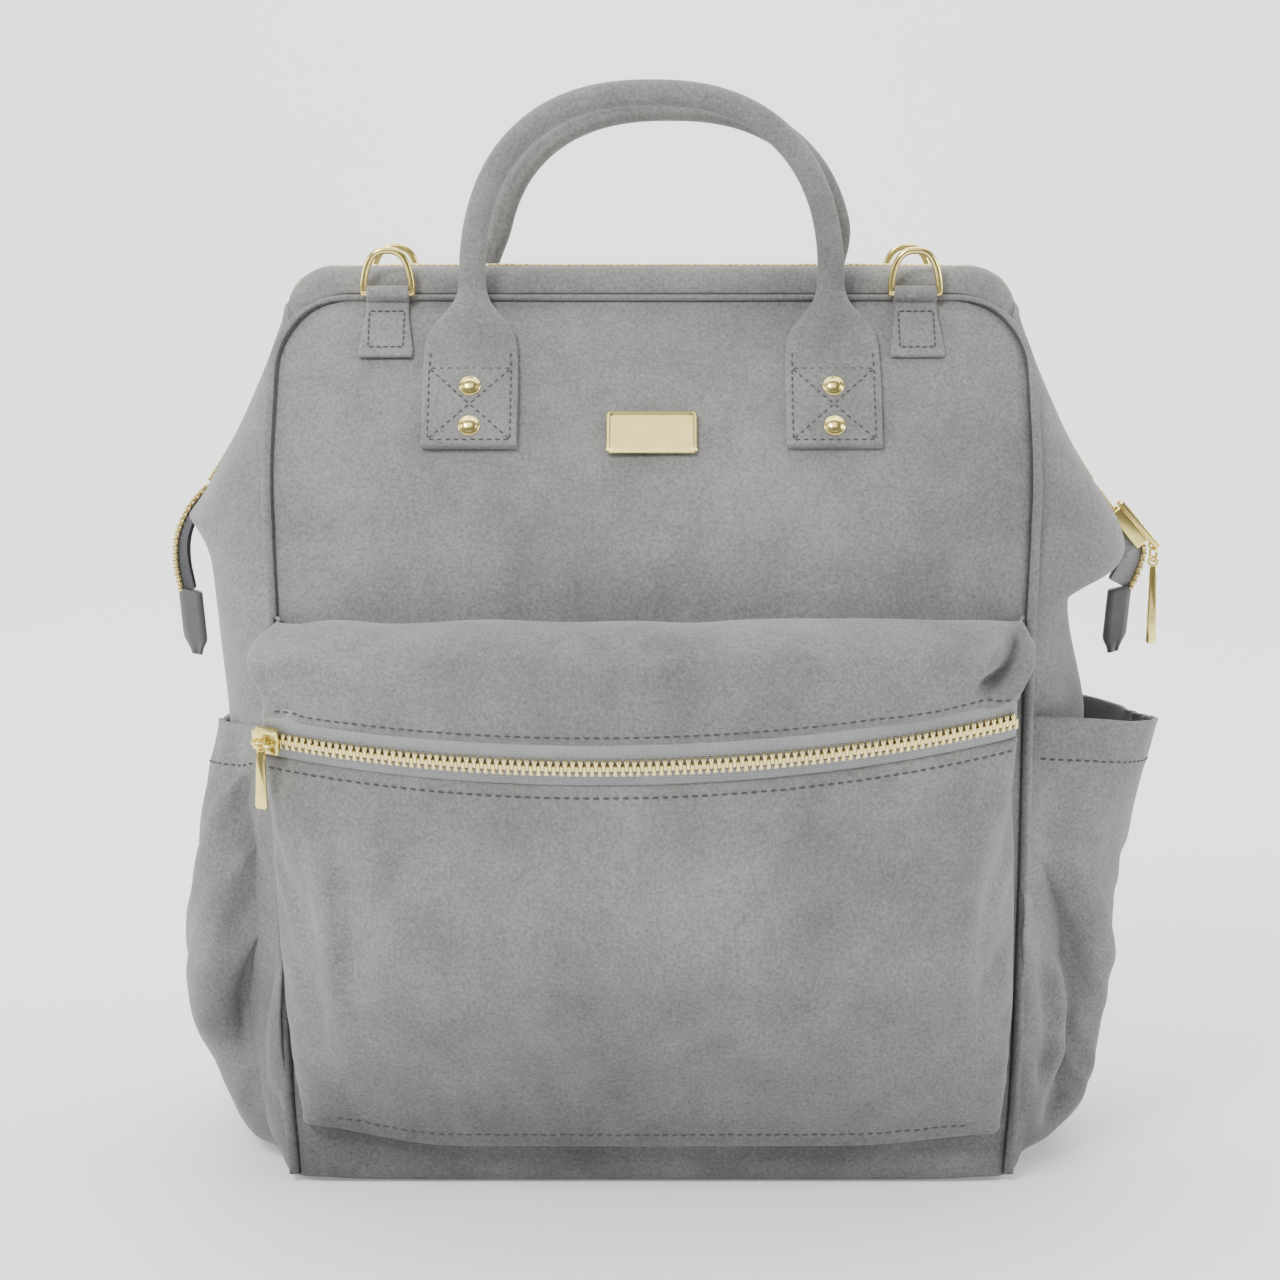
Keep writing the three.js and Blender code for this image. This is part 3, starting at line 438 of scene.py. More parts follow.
def stitch_parts(path, up, length=2.7, pitch=4.0, radius=0.42):
    """A row of stitches: short threads that dip into the cloth at both ends."""
    count = max(int(line_length(path) / pitch), 1)
    dense = resample(path, 6 * count + 1)
    places = np.linspace(0, len(path) - 1, 6 * count + 1)
    out = unit(np.stack([np.interp(places, np.arange(len(path)), up[:, k]) for k in range(3)], axis=1))
    share = np.linspace(-0.5, 0.5, 5)
    lift = radius * 0.9 * np.cos(share * math.pi) - 0.1 - radius * 0.5
    thickness = radius * np.array([0.5, 1, 1, 1, 0.5])
    parts = []
    for middle in range(3, 6 * count, 6):
        along = unit(dense[middle + 1] - dense[middle - 1])
        points = dense[middle] + share[:, None] * length * along + lift[:, None] * out[middle]
        parts.append(tube_parts(points, thickness, 6, out[middle]))
    return parts


def rounded_box(size, round_by, steps=3):
    """Points and faces of a box with rounded edges, centred on the origin."""
    half = np.asarray(size, float) / 2
    round_by = min(round_by, half.min() * 0.98)
    core = half - round_by
    falling = np.sin(np.linspace(-math.pi / 2, 0, steps + 1))
    u, v = np.meshgrid(*[np.concatenate([falling, -falling[::-1]])] * 2, indexing="ij")
    corner_u, corner_v = np.meshgrid(*[np.repeat([-1, 1], steps + 1)] * 2, indexing="ij")
    points = []
    faces = []
    for axis in range(3):
        for sign in (-1, 1):
            order = [axis, (axis + 1) % 3, (axis + 2) % 3]
            direction = np.empty((*u.shape, 3))
            centre = np.empty((*u.shape, 3))
            for k, way, corner in zip(order, (sign, u, v), (sign, corner_u, corner_v)):
                direction[..., k] = way
                centre[..., k] = corner * core[k]
            lot = grid_faces(*u.shape, start=u.size * len(points))
            faces += [list(f)[::sign] for f in lot]
            points.append((centre + unit(direction) * round_by).reshape(-1, 3))
    return np.concatenate(points), faces


def placed(part, origin, x_axis, y_axis, z_axis):
    """A part moved to an origin, its own axes laid along the given ones."""
    points, faces = part
    return points @ np.array([x_axis, y_axis, z_axis], float) + np.asarray(origin, float), faces


def plate_parts(outline, thick, bevel):
    """Flat plate with bevelled edges from an outline in its own X and Z, its face towards -Y."""
    outline = np.asarray(outline, float)
    out = unit(outline - outline.mean(axis=0))
    rings = []
    for y, shrink in ((0, bevel), (-bevel * 0.4, bevel * 0.3), (-bevel, 0), (bevel - thick, 0),
                      (bevel * 0.4 - thick, bevel * 0.3), (-thick, bevel)):
        ring = outline - out * shrink
        rings.append(np.stack([ring[:, 0], np.full(len(ring), y), ring[:, 1]], axis=1))
    return np.concatenate(rings), capped_faces(len(rings), len(outline))


def rounded_rectangle(half_x, half_z, round_by, steps=5):
    points = []
    for sx, sz, start in ((1, 1, 0), (-1, 1, 90), (-1, -1, 180), (1, -1, 270)):
        for t in np.radians(start + np.linspace(0, 90, steps)):
            points.append((sx * (half_x - round_by) + round_by * math.cos(t),
                           sz * (half_z - round_by) + round_by * math.sin(t)))
    return points


# ---------- the bag's outer shape ----------

# Profiles are (height, distance) stations: how far each side, seam and panel stands out.
left_reach = profile([(0, 161), (12, 171), (24, 177), (80, 184), (200, 187), (230, 190), (252, 193),
                      (272, 199), (285, 206.2)])
right_reach = profile([(0, 161), (12, 171), (24, 177), (80, 185), (200, 191), (222, 188), (240, 184.5),
                       (250, 183), (254, 184.5), (258, 193), (262, 204), (266, 209.5), (272, 211),
                       (279, 209), (285, 206.2)])
seam_x = profile([(0, 155.5), (40, 158), (120, 159.5), (240, 160.5), (300, 164), (350, 163)])
crown_y = profile([(0, 84), (30, 90), (120, 94), (220, 93), (260, 88), (300, 72), (340, 48), (370, 26),
                   (381, 17.8), (392, 16)])


def shoulder_x(z):
    drop = np.clip(SHOULDER_Z - np.asarray(z, float), -SHOULDER_R, SHOULDER_R)
    return SHOULDER_X - np.sqrt(SHOULDER_R ** 2 - drop ** 2)


_lean = unit(np.array([SHOULDER_X - shoulder_x(SHOULDER_TOP), SHOULDER_Z - SHOULDER_TOP]))
CORNER_X = float(shoulder_x(SHOULDER_TOP)) - CORNER_R * _lean[0]
CORNER_Z = SHOULDER_TOP - CORNER_R * _lean[1]
TOP_Z = CORNER_Z + CORNER_R
CORNER_ANGLE = math.atan2(_lean[1], _lean[0])


def seam_line_x(z):
    """Half width of the front and back panels: straight sides, then round top corners."""
    z = np.asarray(z, float)
    rise = np.clip(z - SEAM_STRAIGHT_Z, 0, SEAM_ROUND)
    corner = float(seam_x(SEAM_STRAIGHT_Z)) - SEAM_ROUND + np.sqrt(SEAM_ROUND ** 2 - rise ** 2)
    return np.where(z < SEAM_STRAIGHT_Z, seam_x(z), corner)


def side_reach(z, side):
    z = np.asarray(z, float)
    low = (right_reach if side > 0 else left_reach)(z)
    corner = CORNER_X + np.sqrt(np.clip(CORNER_R ** 2 - (z - CORNER_Z) ** 2, 0, None))
    return np.where(z < 285, low, np.where(z < SHOULDER_TOP, shoulder_x(z), corner))


def panel_depth(x, z):
    """How far the front and back panels stand from the bag's middle plane."""
    reach = side_reach(z, -1)
    corner = np.minimum(seam_x(np.minimum(z, 350)) / reach, 0.955)
    power = math.log(0.5) / np.log(corner)
    share = np.clip(np.abs(x) / reach, 0, 0.999)
    return crown_y(z) * (1 - share ** power) ** (1 / power)


def panel_grid(side, columns=90, rows=110):
    heights = np.concatenate([
        np.linspace(3, SEAM_STRAIGHT_Z, rows - 24, endpoint=False),
        SEAM_STRAIGHT_Z + SEAM_ROUND * np.sin(np.linspace(0, math.pi / 2, 24)),
    ])
    half = seam_line_x(heights)
    across = np.linspace(-1, 1, columns)
    x = half[:, None] * across[None, :]
    z = np.broadcast_to(heights[:, None], x.shape)
    return np.stack([x, side * panel_depth(x, z), z], axis=-1)


def panel_normal(x, z, side=-1):
    """Outward direction of the front (-1) or back (1) panel."""
    step = 0.5
    dx = (panel_depth(x + step, z) - panel_depth(x - step, z)) / (2 * step)
    dz = (panel_depth(x, z + step) - panel_depth(x, z - step)) / (2 * step)
    return unit(np.array([-float(dx), side, -float(dz)]))


def strip_edges(side, count=30):
    """The seam that joins the front panel to its side strip, and the edge of the mouth's zip:
    two lines with matching points, from the foot up over the shoulder to the middle of the top."""
    low_z = np.concatenate([np.linspace(3, 240, 44, endpoint=False),
                            np.linspace(240, SEAM_STRAIGHT_Z, 52, endpoint=False)])
    low_seam = np.stack([seam_x(low_z), -panel_depth(seam_x(low_z), low_z), low_z], axis=1)
    low_edge = np.stack([side_reach(low_z, side), np.zeros(len(low_z)), low_z], axis=1)
    turn = np.linspace(0, math.pi / 2, 40)
    arc_x = float(seam_x(SEAM_STRAIGHT_Z)) - SEAM_ROUND + SEAM_ROUND * np.cos(turn)
    arc_z = SEAM_STRAIGHT_Z + SEAM_ROUND * np.sin(turn)
    high_seam = np.stack([arc_x, -panel_depth(arc_x, arc_z), arc_z], axis=1)
    level = np.zeros(count)
    rise_z = np.linspace(SEAM_STRAIGHT_Z, SHOULDER_TOP, count, endpoint=False)
    rise = np.stack([shoulder_x(rise_z), level, rise_z], axis=1)
    bend = np.linspace(-CORNER_ANGLE, math.pi / 2, count)
    corner = np.stack([CORNER_X + CORNER_R * np.cos(bend), level, CORNER_Z + CORNER_R * np.sin(bend)], axis=1)
    high_edge = resample(np.concatenate([rise, corner, [[arc_x[-1], 0, TOP_Z]]]), len(turn))
    top_x = np.linspace(arc_x[-1], 0, count)[1:]
    band = np.full(len(top_x), BAND_Z)
    top_seam = np.stack([top_x, -panel_depth(top_x, band), band], axis=1)
    top_edge = np.stack([top_x, level[1:], np.full(len(top_x), TOP_Z)], axis=1)
    return np.concatenate([low_seam, high_seam, top_seam]), np.concatenate([low_edge, high_edge, top_edge])


def strip_grid(side, columns=30, fine=160):
    """The side strip of the front half, from the panel's seam round to the zip's edge."""
    seam, edge = strip_edges(side)
    tangent = unit(np.gradient(edge, axis=0))
    slope = np.stack([tangent[:, 2], np.zeros(len(edge)), -tangent[:, 0]], axis=1)
    upper = smooth(PIVOT_Z - 10, PIVOT_Z + 25, edge[:, 2])[:, None]
    out = unit(slope * upper + np.array([1.0, 0, 0]) * (1 - upper))
    edge[:, 1] -= 4.4 * smooth(PIVOT_Z - 12, PIVOT_Z + 6, edge[:, 2])
    edge = edge + out * (1.6 * smooth(PIVOT_Z, PIVOT_Z + 20, edge[:, 2]))[:, None]
    reach = edge - seam
    rows = []
    for i, (_, _, height) in enumerate(seam):
        turn_in = smooth(300, 378, height)
        power = float(np.interp(height, [0, 40, 250, 268, 300, 381], [5, 4, 4, 3, 4, 3.2]))
        start = (1 - turn_in) * math.pi / 4 + turn_in * 0.08
        angle = np.linspace(start, math.pi / 2, fine)
        rise = np.sin(angle) ** (2 / power)
        fall = np.clip(np.cos(angle), 0, 1) ** (2 / power)
        out_share = (rise - rise[0]) / (1 - rise[0])
        in_share = 1 - fall / fall[0]
        amount_out = reach[i] @ out[i]
        rest = reach[i] - out[i] * amount_out
        rest[1] = 0
        curve = (seam[i] + out_share[:, None] * out[i] * amount_out
                 + in_share[:, None] * np.array([0, reach[i, 1], 0])
                 + np.linspace(0, 1, fine)[:, None] * rest)
        rows.append(resample(curve, columns))
    return np.array(rows)


# ---------- soft shaping ----------

def crease(grid, start, end, width, depth, normal):
    """Presses a fold into a grid along a line from start to end, given in X and Z."""
    a = np.asarray(start, float)
    d = np.asarray(end, float) - a
    length = np.linalg.norm(d)
    d = d / length
    flat = grid[..., [0, 2]] - a
    along = flat @ d
    aside = flat @ np.array([-d[1], d[0]])
    reach = smooth(-0.1 * length, 0.25 * length, along) * (1 - smooth(0.75 * length, 1.1 * length, along))
    dent = np.exp(-(aside / width) ** 2) - 0.45 * np.exp(-((aside - 1.8 * width) / (1.4 * width)) ** 2)
    return grid - normal * (depth * dent * reach)[..., None]


def fold(grid, points, width, depth, normal):
    """Presses one soft valley with raised banks into a grid, along a smooth line in X and Z."""
    line = spline([(x, 0, z) for x, z in points], 160)[:, [0, 2]]
    away = grid[..., None, [0, 2]] - line
    distance = np.linalg.norm(away, axis=-1)
    nearest = distance.argmin(axis=-1)
    apart = np.take_along_axis(distance, nearest[..., None], axis=-1)[..., 0]
    share = nearest / (len(line) - 1)
    strength = smooth(0, 0.25, share) * (1 - smooth(0.75, 1, share))
    seen = smooth(0.0, 0.35, -normal[..., 1])
    dent = np.exp(-(apart / width) ** 2) - 0.4 * np.exp(-((apart - 1.9 * width) / width) ** 2)
    pressed = grid - normal * (depth * dent * strength * seen)[..., None]
    return eased(pressed, 2)


def ripples(grid, normal, amount, scale, seed, mask=1.0):
    """Shallow unevenness of stuffed cloth, from a few crossed waves of random direction."""
    rng = np.random.default_rng(seed)
    total = np.zeros(grid.shape[:2])
    for _ in range(7):
        direction = unit(rng.normal(size=3))
        length = scale * rng.uniform(0.6, 1.7)
        total += np.sin(grid @ direction * (2 * math.pi / length) + rng.uniform(0, 2 * math.pi))
    return grid + normal * (amount * total / 3 * mask)[..., None]


def relax(name, grid, held, pressure, slack, frames):
    """Lets a grid of cloth settle as simulated fabric: held is how firmly each point stays put.
    The cloth is simulated at SIM_SCALE times its size."""
    obj = make_mesh(name, grid.reshape(-1, 3) * MM * SIM_SCALE, grid_faces(*grid.shape[:2]), [], scale=1)
    group = obj.vertex_groups.new(name="held")
    for index, weight in enumerate(held.reshape(-1)):
        if weight > 0:
            group.add([index], float(weight), "REPLACE")
    cloth = obj.modifiers.new("cloth", "CLOTH")
    settings = cloth.settings
    settings.vertex_group_mass = "held"
    settings.quality = 6
    settings.mass = 0.3
    settings.tension_stiffness = CLOTH_STIFF
    settings.compression_stiffness = CLOTH_STIFF
    settings.shear_stiffness = CLOTH_STIFF * 0.6
    settings.bending_stiffness = 6.0
    settings.shrink_min = -slack
    settings.use_pressure = True
    settings.uniform_pressure_force = pressure
    settings.effector_weights.gravity = 0.25
    cloth.collision_settings.use_self_collision = False
    scene = bpy.context.scene
    for number in range(1, frames + 1):
        scene.frame_set(number)
    settled = obj.evaluated_get(bpy.context.evaluated_depsgraph_get())
    found = np.array([v.co[:] for v in settled.data.vertices]) / (MM * SIM_SCALE)
    bpy.data.objects.remove(obj)
    scene.frame_set(1)
    return found.reshape(grid.shape)


def edge_hold(shape, top=True, margin=2):
    """Holds a grid's edges still, and leaves the rest free. top=False frees the last rows."""
    held = np.zeros(shape[:2])
    held[:margin] = 1
    if top:
        held[-margin:] = 1
    held[:, :margin] = 1
    held[:, -margin:] = 1
    return held


def bend_with_mouth(obj):
    """Bakes the piece's placement into its mesh."""
    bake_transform(obj)


# ---------- tub and upper bag ----------

def build_panel(half):
    side = SIDE[half]
    grid = panel_grid(side)
    out = grid_normals(grid) * -side
    edge = smooth(0, 0.12, 1 - np.abs(np.linspace(-1, 1, grid.shape[1])))[None, :]
    lift = smooth(3, 25, grid[..., 2]) * (1 - smooth(355, 380, grid[..., 2]))
    grid = ripples(grid, out, 0.8, 150, 4 if side < 0 else 9, edge * lift)
    piece = shell(f"{half}_panel_cloth", grid, 2.6, [SUEDE, LINING], -side)
    fitted(piece, nodes=[f"{half}_panel", f"{half}_upper_panel"])
    bend_with_mouth(piece)


def build_strip(half, side):
    """Half of one side wall with its stretch of the mouth's hem, up to the middle of the top."""
    grid = strip_grid(side)
    grid[..., 0] *= side
    if half == "back":
        grid[..., 1] *= -1
    turned = -side * SIDE[half]
    out = grid_normals(grid) * turned
    middle = np.sin(np.linspace(0, math.pi, grid.shape[1]))[None, :]
    body = smooth(10, 60, grid[..., 2]) * (1 - smooth(300, 350, grid[..., 2]))
    grid = ripples(grid, out, 1.0, 90, 20 + side + (5 if half == "back" else 0), middle * body)
    name = NAME[side]
    piece = shell(f"{half}_side_strip_{name}", grid, 2.2, [SUEDE, LINING], turned)
    nodes = [f"gusset_{name}", f"{half}_upper_gusset_{name}", f"{half}_top_band"]
    fitted(piece, nodes=nodes)
    bend_with_mouth(piece)


def seam_path(half):
    """The seam round the front or back panel, from its left foot over the top to its right foot."""
    seam, _ = strip_edges(1)
    path = np.concatenate([mirror(seam, 0), seam[::-1][1:]])
    return mirror(path, 1) if half == "back" else path


def build_piping(half):
    """The cord in its folded strip, with a thin dark tube along each side of it as painted seam shade."""
    path = resample(seam_path(half), 420)
    out = unit(np.stack([path[:, 0] * 0.4, path[:, 1] * 1.5, np.zeros(len(path))], axis=1))
    high = smooth(365, 381, path[:, 2])
    points, faces = tube_parts(path + out * 1.3, 2.2 - 0.8 * high, 14)
    piping = make_mesh(f"{half}_piping", points, faces, [PIPING])
    aside = unit(np.cross(unit(np.gradient(path, axis=0)), out))
    # painted shade: a thin dark tube along each side of the cord, where the seam's shadow falls
    shade_tubes = []
    for sign in (-1, 1):
        shade_tube = path + aside * (sign * (2.0 - 0.7 * high))[:, None] + out * 0.35
        shade_tubes.append(tube_parts(shade_tube, 0.75, 8))
    for piece in (piping, joined(f"{half}_piping_seam_shade", shade_tubes, PAINTED_SEAM_SHADE)):
        fitted(piece)
        bend_with_mouth(piece)


def build_base():
    """Bottom panel, rounded up all round where it is sewn to the walls."""
    angle = np.linspace(0, 2 * math.pi, 160, endpoint=False)
    outline = np.column_stack(round_power(angle, 2 / 9)) * BASE_HALF
    rings = []
    for inset, z in ((40, 0.2), (8, 0.0), (2.6, 0.0), (0.8, 0.9), (0, 2.2), (0.2, 3.6), (1.2, 4.4),
                     (6, 4.6), (40, 4.6)):
        rings.append(np.column_stack([outline * (1 - inset / BASE_HALF), np.full(len(outline), z)]))
    piece = stacked("bottom_panel_cloth", rings, SUEDE)
    fitted(piece, "bag", ["base_panel"])


# ---------- front pocket ----------

pocket_half = profile([(22, 151.5), (60, 155), (100, 157), (160, 158), (ZIP_Z, 158), (225, 160),
                       (240, 160), (253, 154)])
pocket_edge = profile([(22, 93), (60, 101), (130, 109), (ZIP_Z, POCKET_EDGE), (235, 108), (253, 100)])
pocket_crown = profile([(22, 3), (40, 12), (70, 21), (130, 30), (ZIP_Z, POCKET_SAG), (235, 27),
                        (253, 18)])
POCKET_ROUND = 3.0         # radius of the pocket's corners in plan
ZIP_HALF = 156.5           # half span of the pocket's zip


def arch(x):
    """Height of the pocket's front arch at a distance from its middle: 1 there, 0 at POCKET_W."""
    rise = np.sqrt(POCKET_R ** 2 - x ** 2)
    return (rise - (POCKET_R - POCKET_SAG)) / POCKET_SAG


def pocket_row(z, count, back_y=86.0):
    """Plan outline of the pocket at one height, from its left back edge round to its right one."""
    half = float(pocket_half(z))
    edge = float(pocket_edge(z))
    crown = float(pocket_crown(z))
    corner = POCKET_ROUND + 5.0 * (1 - float(smooth(24, 70, z)))
    turn = np.linspace(0, math.pi / 2, 12)
    end_y = edge + crown * arch(half - corner)
    right = np.stack([half - corner + corner * np.cos(turn), end_y - corner + corner * np.sin(turn)], axis=1)
    x = np.linspace(half - corner, corner - half, 80)[1:-1]
    front = np.stack([x, edge + crown * arch(x)], axis=1)
    left = right[::-1] * [-1, 1]
    outline = np.concatenate([[[half, back_y]], right, front, left, [[-half, back_y]]])[::-1]
    points = np.column_stack([outline[:, 0], -outline[:, 1], np.full(len(outline), z)])
    return resample(points, count)


def tilt(points):
    """Takes points beside a level zip to their places beside the tilted one."""
    return (points - TILT_PIVOT) @ ZIP_TILT.T + TILT_PIVOT + ZIP_SHIFT


def tilt_with_zip(points):
    """Moves pocket cloth the way the tilted zip carries it: fully beside the tape, not at all
    at the pocket's foot and top."""
    height = points[..., 2]
    beside = points.copy()
    beside[..., 2] = np.clip(height, ZIP_Z - TAPE_HALF, ZIP_Z + TAPE_HALF)
    below = smooth(POCKET_FOOT, ZIP_Z - TAPE_HALF, height)
    above = 1 - smooth(ZIP_Z + TAPE_HALF, POCKET_TOP, height)
    return points + (tilt(beside) - beside) * (below * above)[..., None]


def pocket_lower_grid(columns=150, rows=90):
    heights = np.linspace(POCKET_FOOT - 5, ZIP_Z - TAPE_HALF, rows)
    grid = tilt_with_zip(np.array([pocket_row(z, columns) for z in heights]))
    corner_lift = np.where(grid[..., 0] < 0, 9.0, 5.0)
    lift = corner_lift * smooth(0.55, 1.0, np.abs(grid[..., 0]) / 155) * (1 - smooth(20, 70, grid[..., 2]))
    grid[..., 2] += lift
    return grid


def pocket_upper_grid(columns=190, rows=64):
    """From the zip up the front, over the top fold and back down to the front panel."""
    low = ZIP_Z + TAPE_HALF
    base = pocket_row(low, columns)
    share = base[:, 0] / pocket_half(low)
    front = np.clip((-base[:, 1] - POCKET_EDGE) / POCKET_SAG, 0, 1)
    steps = np.linspace(0, 1, rows)

    def rises(values):
        return profile(list(zip((0, 0.15, 0.32, 0.5, 0.66, 0.84, 1), values)))(steps)

    middle_in = rises((0, -0.07, -0.04, 0.08, 0.38, 0.78, 1))
    middle_up = rises((0, 11, 24, 34, 40.5, 39.5, 32))
    side_in = rises((0, -0.12, -0.1, 0.08, 0.4, 0.78, 1))
    side_up = rises((0, 9, 20, 28, 34, 36, 32))
    end_x = base[:, 0] * 0.975
    ends = np.column_stack([end_x, -panel_depth(end_x, np.full(columns, low + 32)) + 0.5])
    outer = smooth(0.8, 1.0, np.abs(share))
    grid = []
    for i in range(rows):
        inward = side_in[i] + (middle_in[i] - side_in[i]) * front
        row = base.copy()
        row[:, 0] += (ends[:, 0] - base[:, 0]) * np.clip(inward, 0, 1)
        row[:, 1] += (ends[:, 1] - base[:, 1]) * inward
        row[:, 2] = low + (side_up[i] + (middle_up[i] - side_up[i]) * front ** 0.6)
        ear = np.exp(-((row[:, 2] - 236) / 10) ** 2) * outer
        row[:, 0] += np.sign(share) * ear * np.where(share < 0, 9.0, 1.0)
        waist = np.exp(-((row[:, 2] - 216) / 8) ** 2) * outer
        row[:, 0] -= np.sign(share) * waist * np.where(share < 0, 2.0, 1.0)
        grid.append(row)
    return tilt_with_zip(np.array(grid))


def pocket_cloth(name, grid, node):
    """The finished cloth of one part of the front pocket."""
    piece = shell(name, grid, SOFT, [SUEDE, LINING], 1)
    fitted(piece, "bag", [node])


def build_pocket_lower():
    grid = pocket_lower_grid()
    grid = eased(relax("pocket_lower_cloth", grid, edge_hold(grid.shape), 1.5, 0.012, 14), 4)
    out = grid_normals(grid)
    share = np.abs(np.linspace(-1, 1, grid.shape[1]))[None, :]
    height = grid[..., 2]
    inside = (1 - smooth(0.8, 0.99, share)) * smooth(24, 44, height) * (1 - smooth(165, 190, height))
    grid = ripples(grid, out, 1.3, 110, 31, inside)
    for start, end, width, depth in (
            ((-150, 165), (-140, 60), 6, 3.6), ((-131, 170), (-127, 80), 8, 3.2),
            ((-100, 165), (-130, 100), 8, 2.6), ((-60, 60), (40, 45), 12, 1.6),
            ((60, 120), (110, 75), 12, 1.8), ((143, 170), (139, 70), 5, 2.6),
            ((120, 130), (128, 60), 8, 1.6)):
        grid = crease(grid, start, end, width, depth, out)
    sew_along("pocket_zip_lower_stitches", grid, -3, 1, 10)
    sew_along("pocket_foot_stitches", grid, 3, 1, 10)
    pocket_cloth("front_pocket_cloth", grid, "front_pocket_panel")


def build_pocket_upper():
    grid = pocket_upper_grid()
    grid = eased(relax("pocket_upper_cloth", grid, edge_hold(grid.shape), 1.2, 0.02, 14), 4)
    out = grid_normals(grid)
    share = np.abs(np.linspace(-1, 1, grid.shape[1]))[None, :]
    inside = (1 - smooth(0.85, 0.99, share)) * smooth(216, 228, grid[..., 2])
    grid = ripples(grid, out, 0.9, 70, 77, inside)
    grid = crease(grid, (-150, 246), (-118, 238), 4, 2.2, out)
    grid = crease(grid, (-163, 232), (-146, 214), 5, 2.6, out)
    grid = fold(grid, [(157, 256), (153, 245), (146, 233), (132, 223)], 4.0, 9.0, out)
    grid = crease(grid, (120, 236), (90, 226), 7.0, 1.8, out)
    grid = crease(grid, (30, 250), (-40, 244), 6, 1.2, out)
    sew_along("pocket_zip_upper_stitches", grid, 3, 1, 14)
    pocket_cloth("front_pocket_fold", grid, "front_pocket_top")


def zip_row(count=400):
    """The line along the middle of the pocket's zip, and its outward directions."""
    x = np.linspace(-ZIP_HALF, ZIP_HALF, count)
    y = POCKET_EDGE + POCKET_SAG * arch(x)
    flat = np.column_stack([x, 0.6 - y, np.full(count, ZIP_Z)])
    radial = np.column_stack([x, -y - (POCKET_R - POCKET_EDGE - POCKET_SAG), np.zeros(count)])
    return tilt(flat), unit(radial) @ ZIP_TILT.T


def tooth_parts(path, out, side, shift):
    """Teeth of one half of a zip along its path; side points from the chain's middle to this half."""
    count = int(line_length(path) / TOOTH_PITCH)
    where = np.linspace(0, 1, 4 * count + 1)
    share = np.linspace(0, 1, len(path))
    dense = resample(path, 4 * count + 1)
    outs = np.stack([np.interp(where, share, out[:, k]) for k in range(3)], axis=1)
    sides = np.stack([np.interp(where, share, side[:, k]) for k in range(3)], axis=1)
    head = rounded_box((1.5, 4.2, 2.3), 0.45, 2)
    foot = rounded_box((2.0, 1.7, 2.0), 0.4, 2)
    parts = []
    for i in range(count):
        at = min(4 * i + (3 if shift else 1), len(dense) - 2)
        along = unit(dense[at + 1] - dense[at - 1])
        o = unit(outs[at])
        s = unit(sides[at])
        parts.append(placed(head, dense[at] + s * 0.9, along, s, o))
        parts.append(placed(foot, dense[at] + s * 2.6 - o * 0.1, along, s, o))
    return parts


def closed_chain(path, out, side):
    """Both halves of a closed zip's teeth."""
    return tooth_parts(path, out, side, False) + tooth_parts(path, out, -side, True)


def build_pocket_zip():
    middle, radial = zip_row()
    up = np.broadcast_to(ZIP_TILT @ [0.0, 0, 1.0], middle.shape)
    teeth = joined("pocket_zip_teeth", closed_chain(middle + radial * 1.2, radial, up), TEETH)
    fitted(teeth, "bag", ["front_pocket_zip_teeth"])
    rows = []
    for height in np.linspace(-TAPE_HALF - 4, TAPE_HALF + 4, 24):
        row = pocket_row(ZIP_Z, 220)
        out = unit(np.column_stack([np.gradient(row[:, 1]), -np.gradient(row[:, 0]), np.zeros(len(row))]))
        row = row - out * (0.9 + 0.9 * float(smooth(7, 12, abs(height))))
        row[:, 2] += height
        rows.append(tilt(row))
    tape = shell("pocket_zip_tape", np.array(rows), 0.9, [TAPE], 1)
    fitted(tape, "bag", ["front_pocket_zip_tape"])


def sew_along(name, grid, row, outward, skip):
    """Stitches on a cloth grid, a given number of rows from its first one, or before its last."""
    out = grid_normals(grid)[row] * outward
    line = grid[row] + out * 0.12
    seams = joined(name, stitch_parts(line[skip:-skip], out[skip:-skip]), THREAD)
    fitted(seams, "bag")


# ---------- side pockets ----------

left_swell = profile([(4, 164), (12, 176), (24, 187), (50, 199), (75, 208), (95, 211), (119, 209),
                      (154, 203), (180, 199), (200, 193)])
right_swell = profile([(4, 164), (12, 176), (24, 190), (40, 195), (60, 199), (100, 203.5), (145, 209),
                       (176, 215), (200, 220)])
RIM_Z = {-1: (203, 196), 1: (206, 190)}     # height of each pocket's rim at its front and its back
SIDE_FOLDS = {              # each fold's line in X and Z, its width and its depth
    -1: [([(-178, 196), (-172, 160), (-170, 120), (-178, 72), (-186, 30)], 9, 12),
         ([(-190, 160), (-184, 130), (-178, 100)], 8, 2.5)],
    1: [([(160, 156), (174, 124), (188, 88), (191, 60), (186, 36), (172, 10)], 7.0, 13),
        ([(161, 132), (171, 100), (176, 64), (171, 28)], 5, 5.0)],
}


def wall_section(side, z, count=240):
    """Outline of one side wall at a height, from the front seam round to the back one."""
    reach = float(side_reach(z, side))
    seam = np.array([float(seam_x(z)), float(panel_depth(seam_x(z), z))])
    angle = np.linspace(math.pi / 4, math.pi / 2, count // 2)
    power = 4.0
    rise = np.sin(angle) ** (2 / power)
    fall = np.clip(np.cos(angle), 0, 1) ** (2 / power)
    x = seam[0] + (reach - seam[0]) * (rise - rise[0]) / (1 - rise[0])
    y = seam[1] * fall / fall[0]
    half = np.column_stack([x, -y])
    return np.concatenate([half, (half * [1, -1])[::-1][1:]])


